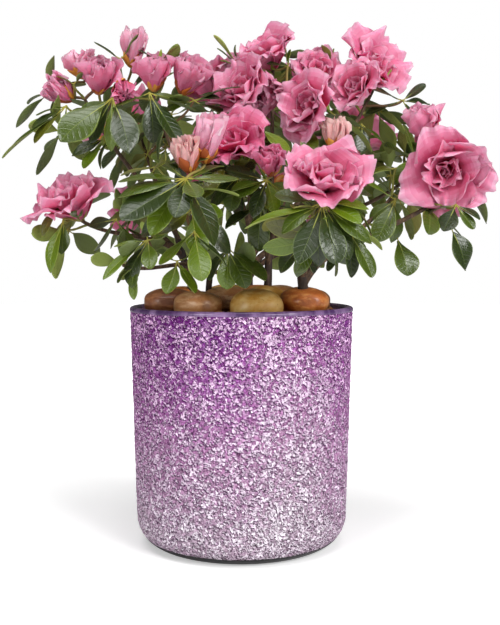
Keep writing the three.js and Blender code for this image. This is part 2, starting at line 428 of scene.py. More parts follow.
def ring_numbers(rings, sides):
    """The numbers of the points of stacked rings, and of the points beside them."""
    index = np.arange(rings * sides).reshape(rings, sides)
    return index, np.roll(index, -1, axis=1)


def ring_faces(rings, sides, inward=False):
    """Four-cornered faces that join stacked rings, facing out or in."""
    index, beside = ring_numbers(rings, sides)
    corners = [index[:-1], beside[:-1], beside[1:], index[1:]]
    order = (0, 3, 2, 1) if inward else (0, 1, 2, 3)
    return faces_between(*(corners[at] for at in order)).tolist()


def round_axis(radius, angle, height):
    """Points at a distance from the Z axis, at an angle round it and at a height."""
    return np.stack((radius * np.cos(angle), radius * np.sin(angle), height), axis=-1)


def ring_points(radius, height, sides):
    """Points of a level ring round the Z axis."""
    turns = np.arange(sides) * FULL_TURN / sides
    return round_axis(radius, turns, np.full(sides, height))


class Bundle:
    """Many small surfaces that are joined into one mesh, each face with a finish."""

    def __init__(self):
        self.points = []
        self.faces = []
        self.finishes = []
        self.places = []
        self.count = 0

    def add(self, points, faces, finish, places=None):
        """Adds points with faces between them. All faces share a finish or each has its own.
        Places are the points' own flat coordinates."""
        self.points.append(points)
        self.faces.extend([tuple(corner + self.count for corner in face) for face in faces])
        self.finishes.extend([finish] * len(faces) if np.ndim(finish) == 0 else finish)
        self.places.append(np.zeros((len(points), 2)) if places is None else places)
        self.count += len(points)

    def shell(self, grid, thickness, over, under):
        """A thin closed blade over a grid of points. Its two sides meet along the grid's margin."""
        rows, columns = grid.shape[:2]
        normals = np.cross(np.gradient(grid, axis=1), np.gradient(grid, axis=0))
        normals /= np.maximum(np.linalg.norm(normals, axis=2, keepdims=True), 1e-12)
        top = np.arange(rows * columns).reshape(rows, columns)
        bottom = top.copy()
        inner = (rows - 2) * (columns - 2)
        bottom[1:-1, 1:-1] = rows * columns + np.arange(inner).reshape(rows - 2, columns - 2)
        below = (grid - normals * thickness)[1:-1, 1:-1].reshape(-1, 3)
        s, t = np.meshgrid(np.linspace(0, 1, columns), np.linspace(0, 1, rows))
        places = np.stack((s, t), axis=2)
        upper = faces_between(top[:-1, :-1], top[:-1, 1:], top[1:, 1:], top[1:, :-1])
        lower = faces_between(bottom[:-1, :-1], bottom[1:, :-1], bottom[1:, 1:], bottom[:-1, 1:])
        points = np.concatenate((grid.reshape(-1, 3), below))
        flat = np.concatenate((places.reshape(-1, 2), places[1:-1, 1:-1].reshape(-1, 2)))
        finishes = over.reshape(-1).tolist() + under.reshape(-1).tolist()
        self.add(points, np.concatenate((upper, lower)).tolist(), finishes, flat)

    def tube(self, path, radii, sides, finish=0, relief=None):
        """A closed tube along a path, with a radius at each of its points."""
        tangents = np.gradient(path, axis=0)
        tangents /= np.maximum(np.linalg.norm(tangents, axis=1, keepdims=True), 1e-12)
        normal = across(tangents[0], np.array((0.3, -0.8, 0.5)))
        around = np.arange(sides) * FULL_TURN / sides
        rings = []
        for ring, (point, tangent) in enumerate(zip(path, tangents)):
            normal = across(tangent, normal)
            side = np.cross(tangent, normal)
            reach = radii[ring] + (relief[ring] if relief is not None else 0.0)
            spokes = np.outer(np.cos(around), normal) + np.outer(np.sin(around), side)
            rings.append(point + spokes * np.reshape(reach, (-1, 1)))
        first = list(range(sides))
        last = [number + (len(path) - 1) * sides for number in first]
        faces = ring_faces(len(path), sides) + [first[::-1], last]
        self.add(np.concatenate(rings), faces, finish)

    def piece(self, name, materials, sharp_angle=60.0):
        """The mesh as a new smooth object with creases where its faces meet at a sharp angle."""
        mesh = bpy.data.meshes.new(name)
        mesh.from_pydata(np.concatenate(self.points).tolist(), [], self.faces)
        for material in materials:
            mesh.materials.append(material)
        mesh.polygons.foreach_set("material_index", np.array(self.finishes, np.int32))
        corners = np.zeros(len(mesh.loops), np.int32)
        mesh.loops.foreach_get("vertex_index", corners)
        layer = mesh.uv_layers.new(name=BLADE)
        layer.data.foreach_set("uv", np.concatenate(self.places)[corners].astype(np.float32).ravel())
        mesh.shade_smooth()
        mesh.set_sharp_from_angle(angle=math.radians(sharp_angle))
        mesh.update()
        return link(name, mesh)


def link(name, mesh):
    """A mesh as an object of the scene."""
    piece = bpy.data.objects.new(name, mesh)
    bpy.context.scene.collection.objects.link(piece)
    return piece


def stand_for(piece, nodes):
    """Hangs a piece under the root body and hides the CAD nodes that it stands for."""
    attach(piece, "root")
    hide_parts(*nodes)


# ---- Vase ----

VASE_LIP = 2.0 * MM  # radius of the rounded rim
VASE_WALL = 2 * VASE_LIP
VASE_HEEL_HEIGHT = 19 * MM
VASE_HEEL_RADIUS = VASE_RADIUS - 3.6 * MM
VASE_FOOT_RADIUS = 50 * MM
VASE_BAND = 2.8 * MM  # smooth band under the rim
VASE_BASE_BAND = 5.2 * MM  # height of the clear glass at the foot
VASE_FLOOR = 10 * MM
VASE_SIDES = 160
VASE_SKIN = 2.4  # depth of the smooth wall behind the chips, in reliefs
VASE_CREASE = 35.0  # degrees
VASE_BACKING = 2.6  # depth of the chips' own back, in reliefs
BACKING_RINGS = 24
BACKING_SIDES = 120
CHIP_CREASE = 4.0  # degrees
CHIP_JITTER = 0.48  # how far a chip's heart leaves its place, in chips
CHIP_SLOPE = 0.3
CHIP_DEPTH = 0.5 * MM
CHIP_LIFT = 0.7
CRACK_WIDTH = 0.22  # in chips
FACET_JITTER = 0.35  # how far a facet's corner leaves its place, in facets
CROOK = (420, 2.2 * MM)  # scale and push of the noise that makes the glass crooked


def wall_radius(height):
    """Outer radius of the vase at a height, round its heel and up its tapering wall."""
    share = np.clip((height - VASE_HEEL_HEIGHT) / (VASE_HEIGHT - VASE_HEEL_HEIGHT), 0, 1)
    sink = np.clip(1 - height / VASE_HEEL_HEIGHT, 0, 1)
    heel = (VASE_HEEL_RADIUS - VASE_FOOT_RADIUS) * (1 - np.sqrt(1 - sink ** 2))
    return lerp(VASE_HEEL_RADIUS, VASE_RADIUS, share) - heel


def along_wall(heights, depth=0.0):
    """A profile that follows the wall at some heights, at a depth in from its outside."""
    return [(float(wall_radius(height)) - depth, height) for height in heights]


def flake_mask(shader, place, thick):
    """One on the bright flakes: crooked chips drawn by lot, in loose drifts, denser at the front right as a
    painted highlight.
    """
    crooked = shader.warp(place, *CROOK)
    draw = shader.split(shader.cells(crooked, 740)["Color"])[0]
    grain = shader.noise(crooked, 560, 3.0, 0.65, 1.2)
    drifts = shader.noise(place, 90, 3.0, 0.6)
    # thick adds the painted highlight: more bright flakes toward the front right
    return (draw * 0.5 + grain * 0.5 + drifts * 0.5 + thick * 0.05).spread(0.815, 0.84)


def crackle_material(top_colour, foot_colour):
    """Crushed silvered glass, violet at the rim and silver at the foot, with deep cracks; painted shadow
    beside its flakes, painted highlight at the front right.
    """
    shader = Shader("crackle_glass")
    place = shader.place()
    x, y, height = shader.split(place)
    drift = shader.noise(place, 16, 2.0) - 0.5
    thick = ((x * 0.45 - y * 0.89) / VASE_RADIUS).spread(0.8, 1.0)  # painted highlight: paler glass and more bright flakes toward the front right, where the key light reflects
    level = height / VASE_HEIGHT + drift * 0.3 - thick * 0.2
    body = shader.ramp(level, [(0.05, foot_colour), (0.4, "#bd93b3"), (0.72, "#a767a9"), (0.98, top_colour)])
    # dark violet of the cracks and of the painted shadows beside the flakes
    deep = shader.ramp(level, [(0.05, "#382434"), (0.45, "#34103a"), (0.95, "#2d0a37")])
    bright = shader.ramp(level, [(0.05, "#ffffff"), (0.6, "#fff6ff"), (1.0, "#ffeaff")])
    crooked = shader.warp(place, *CROOK)
    tint = shader.attribute("chip_tint")
    crack = shader.attribute("crack")
    silver = flake_mask(shader, place, thick)
    # painted shadow: the flake mask looked up a little above and right, so the glass darkens under and left
    # of each flake, and faintly above it
    over = shader.vector("ADD", place, (0.35 * MM, 0.0, 0.55 * MM))
    under = shader.vector("ADD", place, (-0.35 * MM, 0.0, -0.4 * MM))
    painted_flake_shadow = flake_mask(shader, over, thick) * 0.95 + flake_mask(shader, under, thick) * 0.35
    vein = 1 - abs(shader.noise(crooked, 420, 3.0, 0.6, 0.8) - 0.5).spread(0.006, 0.05)
    colour = shader.blend(tint.spread(0.3, 1.0) * 0.4, body, bright)
    colour = shader.blend(silver, colour, bright)
    # cracks and veins, plus the painted shadows beside the flakes
    cracks_and_painted_shadow = crack * 0.3 + vein * 0.85 + painted_flake_shadow * (1 - silver)
    colour = shader.blend(cracks_and_painted_shadow.capped(0.97), colour, deep)
    chips = shader.facets(crooked, 540)
    coat = level.spread(0.0, 0.8) * 0.6 + 0.4
    return shader.finish(Base_Color=colour, Metallic=silver * 0.15 + 0.1, Roughness=0.22,
                         Coat_Weight=coat, Coat_Roughness=0.25, Coat_IOR=1.04, Coat_Tint="#f8e4f6",
                         Specular_IOR_Level=0.7, Specular_Tint="#b67dc4",
                         Normal=shader.bump(chips, 1.0, 0.8))


def lip_material(name, colour, clear):
    """Smooth violet glass of the lip and the inner wall."""
    shader = Shader(name)
    streak = shader.streaks(0.25, 90, 4.0, 0.6)
    tone = shader.blend(streak.spread(0.35, 0.7), colour, clear)
    return shader.finish(Base_Color=tone, Roughness=0.22, Coat_Weight=0.1, Coat_Roughness=0.05)


def base_glass_material():
    """Clear glass of the foot, painted dark for the shade seen through it."""
    shader = Shader("base_glass")
    streak = shader.streaks(3.0, 160)
    tone = shader.blend(streak.spread(0.5, 0.8), "#050306", "#352d35")
    return shader.finish(Base_Color=tone, Roughness=0.3, Specular_IOR_Level=0.2)


def lathe(bundle, profile, sides, finishes):
    """Turns a profile of (radius, height) about Z, with a finish for each of its steps."""
    rings = [ring_points(radius, height, sides) for radius, height in profile]
    bundle.add(np.concatenate(rings), ring_faces(len(profile), sides), np.repeat(finishes, sides).tolist())


def chips(across_wall, height, size, random):
    """Breaks the wall into chips. Gives each point its rise above the wall as shares of the relief,
    how near it lies to a crack and the tint of its chip."""
    lap = int(round(FULL_TURN * VASE_RADIUS / size))
    rows = int(VASE_HEIGHT / size) + 3
    jitter = random.uniform(-CHIP_JITTER, CHIP_JITTER, (2, rows, lap))
    slope = random.normal(0, CHIP_SLOPE, (2, rows, lap)) * size
    lift = random.uniform(-CHIP_LIFT, CHIP_LIFT, (rows, lap))
    tints = random.uniform(0, 1, (rows, lap))
    column = across_wall / size
    row = height / size + 1
    nearest = np.full(column.shape, 9.0)
    second = np.full(column.shape, 9.0)
    rise = np.zeros(column.shape)
    tint = np.zeros(column.shape)
    for up in (-1, 0, 1):
        for over in (-1, 0, 1):
            i = np.clip(np.floor(row).astype(int) + up, 0, rows - 1)
            j = (np.floor(column).astype(int) + over) % lap
            aside = column - (np.floor(column) + over + 0.5 + jitter[0, i, j])
            above = row - (np.floor(row) + up + 0.5 + jitter[1, i, j])
            distance = np.hypot(aside, above * (0.8 + 0.4 * tints[i, j]))
            closer = distance < nearest
            second = np.where(closer, nearest, np.minimum(second, distance))
            nearest = np.where(closer, distance, nearest)
            plane = lift[i, j] + (slope[0, i, j] * aside + slope[1, i, j] * above) / CHIP_DEPTH
            rise = np.where(closer, plane, rise)
            tint = np.where(closer, tints[i, j], tint)
    crack = 1 - np.clip((second - nearest) / CRACK_WIDTH, 0, 1)
    return np.clip(rise, -1, 1) - 0.5 * crack, crack, tint


def crackle_wall(options, low, high):
    """The outer wall in relief between two heights, closed by a smooth back behind it."""
    random = np.random.default_rng(SEED)
    girth = FULL_TURN * VASE_RADIUS
    rows = int((high - low) / options.facet) + 1
    sides = int(girth / options.facet)
    level, turn = np.meshgrid(np.arange(rows), np.arange(sides), indexing="ij")
    edge = np.minimum(level, rows - 1 - level) > 0
    rises = level + edge * random.uniform(-FACET_JITTER, FACET_JITTER, level.shape)
    height = low + (high - low) * rises / (rows - 1)
    share = (turn + (level % 2) * 0.5 + random.uniform(-FACET_JITTER, FACET_JITTER, level.shape)) / sides
    rise, crack, tint = chips(share * girth, height, options.shard, random)
    reach = wall_radius(height) - options.relief + rise * options.relief * edge
    points = round_axis(reach, share * FULL_TURN, height).reshape(-1, 3)
    index, beside = ring_numbers(rows, sides)
    here, there, up, over = index[:-1], beside[:-1], index[1:], beside[1:]
    even = np.arange(rows - 1)[:, None] % 2 == 0
    first = faces_between(here, there, np.where(even, up, over))
    second = faces_between(np.where(even, there, here), over, up)
    wall = Bundle()
    wall.add(points, np.concatenate((first, second)).tolist(), 0)
    back = along_wall(np.linspace(high, low, BACKING_RINGS), VASE_BACKING * options.relief)
    lathe(wall, back, BACKING_SIDES, [0] * (BACKING_RINGS - 1))
    glass = crackle_material(options.top_colour, options.foot_colour)
    piece = wall.piece("vase_crackle", [glass], CHIP_CREASE)
    spare = np.zeros(len(piece.data.vertices) - crack.size)
    for name, values in (("crack", crack), ("chip_tint", tint)):
        layer = piece.data.attributes.new(name, "FLOAT", "POINT")
        layer.data.foreach_set("value", np.concatenate((values.ravel(), spare)).astype(np.float32))
    stand_for(piece, ["vase"])


def build_vase(options):
    """The crackled outer wall in relief, and the smooth lip, inside and foot."""
    high = VASE_HEIGHT - VASE_BAND
    crackle_wall(options, VASE_BASE_BAND, high)
    rim = [(VASE_RADIUS - VASE_LIP + VASE_LIP * math.cos(a), VASE_HEIGHT - VASE_LIP + VASE_LIP * math.sin(a))
           for a in np.linspace(0, math.pi, 13)]
    foot = [(0, 0), *along_wall(VASE_BASE_BAND * np.linspace(0, 1, 14) ** 2)]
    under = along_wall(np.linspace(VASE_BASE_BAND, high, 14), VASE_SKIN * options.relief)
    band = along_wall(np.linspace(high, VASE_HEIGHT - VASE_LIP, 4))
    inner = along_wall(np.linspace(VASE_HEIGHT - 2 * VASE_LIP, VASE_HEEL_HEIGHT, 10), VASE_WALL)
    floor = [(VASE_FOOT_RADIUS, VASE_FLOOR), (0, VASE_FLOOR)]
    profile = foot + under + band + rim[1:] + inner + floor
    finishes = [0] * (len(foot) + len(under)) + [1] * (len(band) + len(rim) - 2)
    finishes += [2] * (len(profile) - 1 - len(finishes))
    body = Bundle()
    lathe(body, profile, VASE_SIDES, finishes)
    lip = lip_material("lip_glass", options.lip_colour, "#8b6c98")
    inside = lip_material("inner_glass", "#532d77", "#b695c2")
    piece = body.piece("vase_body", [base_glass_material(), lip, inside], VASE_CREASE)
    stand_for(piece, ["vase"])


# ---- Soil and stones ----

SOIL_SINK = 1.2 * MM  # the lumpy surface lies this far below the top of the soil's box
SOIL_LUMP = 0.7 * MM
SOIL_RINGS = 46
SOIL_SIDES = 120


def soil_material():
    """Dark damp potting soil."""
    shader = Shader("potting_soil")
    crumbs = shader.noise(shader.place(), 420, 5.0, 0.7)
    tone = shader.ramp(crumbs, [(0.3, "#140d09"), (0.55, "#2d2016"), (0.75, "#513c2a")])
    normal = shader.bump(crumbs, 0.6, 0.6 * MM)
    return shader.finish(Base_Color=tone, Roughness=0.95, Normal=normal)


def build_soil():
    """A lumpy plug of soil that fills the vase up to just under the stones."""
    radius = float(wall_radius(SOIL_TOP)) - VASE_WALL - 0.4 * MM
    floor = VASE_FLOOR + 1 * MM
    points = []
    for ring in range(SOIL_RINGS):
        share = ring / (SOIL_RINGS - 1)
        level = ring_points(radius * share ** 0.8, SOIL_TOP - SOIL_SINK, SOIL_SIDES)
        x, y, _ = level.T
        lumps = np.sin(410 * x + 1) * np.sin(370 * y + 2) + 0.7 * np.sin(930 * x + 3) * np.sin(1010 * y)
        level[:, 2] += SOIL_LUMP * lumps * min(1.0, (SOIL_RINGS - 1 - ring) / 4)
        points.append(level)
    for height in np.linspace(SOIL_TOP - SOIL_SINK, floor, 8)[1:]:
        reach = float(wall_radius(height)) - VASE_WALL - 0.6 * MM
        points.append(ring_points(reach, height, SOIL_SIDES))
    points.append(ring_points(0, floor, SOIL_SIDES))
    bundle = Bundle()
    bundle.add(np.concatenate(points), ring_faces(len(points), SOIL_SIDES, inward=True), 0)
    stand_for(bundle.piece("potting_soil", [soil_material()]), ["soil"])


STONE_TONES = {  # in dark clouds and flecks, over the stone and on its pale bands
    "tan": ("#683c1e", "#a77143", "#d0a778"),
    "honey": ("#985a16", "#c6913f", "#dfc17d"),
    "brown": ("#462511", "#7d492a", "#a9734b"),
    "amber": ("#672e0c", "#a75b25", "#cd8f4f"),
}
STONE_ORDER = ("tan", "honey", "amber", "brown")  # how the river stones take them in turn
STONE_CREASE = 80.0  # degrees
STONE_RISE = 0.2 * MM  # how far a worn stone may stand over its CAD stone
PEBBLE_SIZES = (3.4, 6.0)  # half widths in millimetres
PEBBLE_SHAPE = np.array((1.3, 1.0, 0.75))
PEBBLE_MARGIN = 8 * MM  # kept free beside the glass


def stone_material(name, tones):
    """River stone: soft clouds of colour, dark flecks and a worn sheen."""
    shader = Shader("stone_" + name)
    place = shader.place()
    low, middle, high = tones
    clouds = shader.noise(place, 55, 4.0, 0.55, 0.6)
    tone = shader.ramp(clouds, [(0.28, low), (0.5, middle), (0.74, high)])
    flecks = shader.noise(place, 620, 3.0, 0.7).spread(0.58, 0.74)
    tone = shader.blend(flecks * 0.6, tone, low)
    bands = shader.streaks(3.0, 150, 3.0, 0.6).spread(0.5, 0.62)
    tone = shader.blend(bands * 0.45, tone, high)
    pits = shader.noise(place, 900, 4.0, 0.6)
    return shader.finish(Base_Color=tone, Roughness=0.42, Coat_Weight=0.2, Coat_Roughness=0.25,
                         Normal=shader.bump(pits, 0.25, 0.25 * MM))


def unit_ball(fineness):
    """Corners and triangles of an icosphere of radius one."""
    mesh = bpy.data.meshes.new("ball")
    shape = bmesh.new()
    bmesh.ops.create_icosphere(shape, subdivisions=fineness, radius=1.0)
    shape.to_mesh(mesh)
    shape.free()
    points = np.array([vertex.co for vertex in mesh.vertices])
    faces = [tuple(face.vertices) for face in mesh.polygons]
    bpy.data.meshes.remove(mesh)
    return points, faces


def worn(ball, wear, phase):
    """A ball's points pushed in and out as a river wears a stone, broad bumps then finer ones."""
    x, y, z = (ball + 0.31 * phase).T
    broad = np.sin(2.1 * x + phase) * np.cos(1.7 * y - phase) + np.sin(2.6 * z + 1.4 * phase)
    fine = np.sin(6.3 * x + 2 * phase) * np.sin(5.7 * y + phase) * np.sin(6.9 * z)
    squarer = np.abs(ball) ** 0.9 * np.sign(ball)
    return squarer * (1 + wear * broad + 0.25 * wear * fine)[:, None]


def build_stones(options):
    """The river stones, each fitted to its CAD stone, and small pebbles between them."""
    ball, faces = unit_ball(5)
    materials = {name: stone_material(name, tones) for name, tones in STONE_TONES.items()}
    for node in STONE_NODES:
        number = int(node.split("_")[1])
        corners = cad_points(node)
        flat = corners[:, :2] - corners[:, :2].mean(axis=0)
        east, north = np.linalg.svd(flat, full_matrices=False)[2][0]
        axes = np.array(((east, north, 0.0), (-north, east, 0.0), (0.0, 0.0, 1.0)))
        local = corners @ axes.T
        middle, half = middle_and_half(local.min(axis=0), local.max(axis=0))
        shape = worn(ball, options.wear, 1.7 * number) * half + middle
        points = np.clip(shape @ axes, corners.min(axis=0), corners.max(axis=0) + STONE_RISE)
        bundle = Bundle()
        bundle.add(points, faces, 0)
        tone = STONE_ORDER[number % len(STONE_ORDER)]
        piece = bundle.piece("river_" + node, [materials[tone]], STONE_CREASE)
        stand_for(piece, [node])
    build_pebbles(options.pebbles, options.wear, list(materials.values()))


def build_pebbles(count, wear, materials):
    """Small pebbles lying on the soil in the gaps."""
    random = np.random.default_rng(SEED + 1)
    ball, faces = unit_ball(3)
    bundle = Bundle()
    reach = float(wall_radius(SOIL_TOP)) - VASE_WALL - PEBBLE_MARGIN
    for number in range(count):
        radius = reach * math.sqrt((number + 0.5) / count)
        half = random.uniform(*PEBBLE_SIZES) * MM * PEBBLE_SHAPE
        turn = random.uniform(0, math.pi)
        long, wide, tall = (worn(ball, wear, number) * half).T
        seat = round_axis(radius, number * GOLDEN_ANGLE, SOIL_TOP + 0.5 * half[2])
        points = np.stack((*spun(long, wide, turn), tall), axis=1) + seat
        bundle.add(points, faces, number % len(materials))
    piece = bundle.piece("small_pebbles", materials, STONE_CREASE)
    stand_for(piece, STONE_NODES[:1])


# ---- Limbs ----

BARK_CREASE = 50.0  # degrees
STEM_SIDES = 16
BOUGH_SIDES = 12
CUT_DEPTH = 1.2 * MM  # corners this near to a stem's end belong to its end ring
FLARE_REACH = 5 * MM  # how soon the root flare dies away up the stem


def bark_material(name, colour, scale):
    """Flaky bark: long grey-brown plates over a dark ground."""
    shader = Shader(name)
    plates = shader.streaks(0.28, scale, 5.0, 0.65, 0.4)
    dark = tuple(0.28 * part for part in colour)
    pale = tuple(min(1.0, 2.6 * part + 0.02) for part in colour)
    tone = shader.ramp(plates, [(0.32, dark), (0.52, colour), (0.72, pale)])
    normal = shader.bump(plates, 0.7, 0.35 * MM)
    return shader.finish(Base_Color=tone, Roughness=0.8, Normal=normal)


def ring_middle(node, top):
    """Middle of the end ring of a CAD stem."""
    points = cad_points(node)
    rise = points[:, 2]
    near = rise > rise.max() - CUT_DEPTH if top else rise < rise.min() + CUT_DEPTH
    return points[near].mean(axis=0)


def stem_path(node, steps=24):
    """The curve of a stem from its flat cut to its tip."""
    start = ring_middle(node, False)
    end = ring_middle(node, True)
    upright = lerp(start, end, 0.4)
    upright[:2] = start[:2]
    return bezier(start, upright, lerp(start, end, 0.75), end, steps)


def mass_heart(name):
    """Where the bough of a mass ends."""
    return in_mass(name, FAR_LEFT_HEART if name == "far_left" else (0, 0, 0))


def fork_share(order):
    """How far up the stem the bough of an order leaves it."""
    return 1 - BOUGH_SPACING * order


def bough_path(node, order, steps=26):
    """The curve of the bough of one mass: it follows its stem, heads out and sags into the mass."""
    path = stem_path(node, 100)
    at = int(round(fork_share(order) * 100))
    start = path[at]
    end = mass_heart(STEMS[node].masses[order])
    reach = np.linalg.norm(end - start)
    along = unit(path[min(at + 1, 100)] - path[max(at - 1, 0)])
    early = start + along * BOUGH_CLIMB * reach + unit(end - start) * BOUGH_OUTWARD * reach
    late = lerp(start, end, 0.7) - UP * BOUGH_SAG * reach
    return bezier(start, early, late, end, steps)


def bark_relief(rings, sides, depth, phase):
    """Ridges that wander along a limb, with a few rings where old leaves left their scars."""
    ring, side = np.meshgrid(np.arange(rings), np.arange(sides), indexing="ij")
    turn = side * FULL_TURN / sides
    ridges = np.sin(3 * turn + 0.35 * ring + phase) + 0.6 * np.sin(5 * turn - 0.6 * ring + 2 * phase)
    scars = np.maximum(0, np.sin(0.9 * ring + phase)) ** 6
    return depth * (0.5 * ridges + 0.6 * scars)


def build_limbs(options):
    """Stems and boughs with the relief of their bark."""
    stems = Bundle()
    boughs = Bundle()
    for number, (node, stem) in enumerate(STEMS.items()):
        path = stem_path(node)
        along = np.linspace(0, 1, len(path))
        length = np.linalg.norm(path[-1] - path[0])
        flare = stem.flare * np.exp(-along * length / FLARE_REACH)
        radii = (lerp(stem.thick, stem.thin, along) + flare) * MM
        stems.tube(path, radii, STEM_SIDES, 0, bark_relief(len(path), STEM_SIDES, options.relief, number))
        for order in range(len(stem.masses)):
            path = bough_path(node, order)
            thick = BOUGH_GIRTH * lerp(stem.thick, stem.thin, fork_share(order))
            radii = lerp(thick, BOUGH_TIP, np.linspace(0, 1, len(path))) * MM
            relief = bark_relief(len(path), BOUGH_SIDES, 0.5 * options.relief, number + order)
            boughs.tube(path, radii, BOUGH_SIDES, 0, relief)
    old = bark_material("old_bark", options.stem_colour, 260)
    colour = lerp(np.array(options.stem_colour), np.array(options.twig_colour), 0.3)
    young = bark_material("bough_bark", colour, 420)
    stand_for(stems.piece("stems", [old], BARK_CREASE), list(STEMS))
    carried = ["bough_" + mass for stem in STEMS.values() for mass in stem.masses]
    stand_for(boughs.piece("boughs", [young], BARK_CREASE), carried)


# ---- The plan of the crown ----

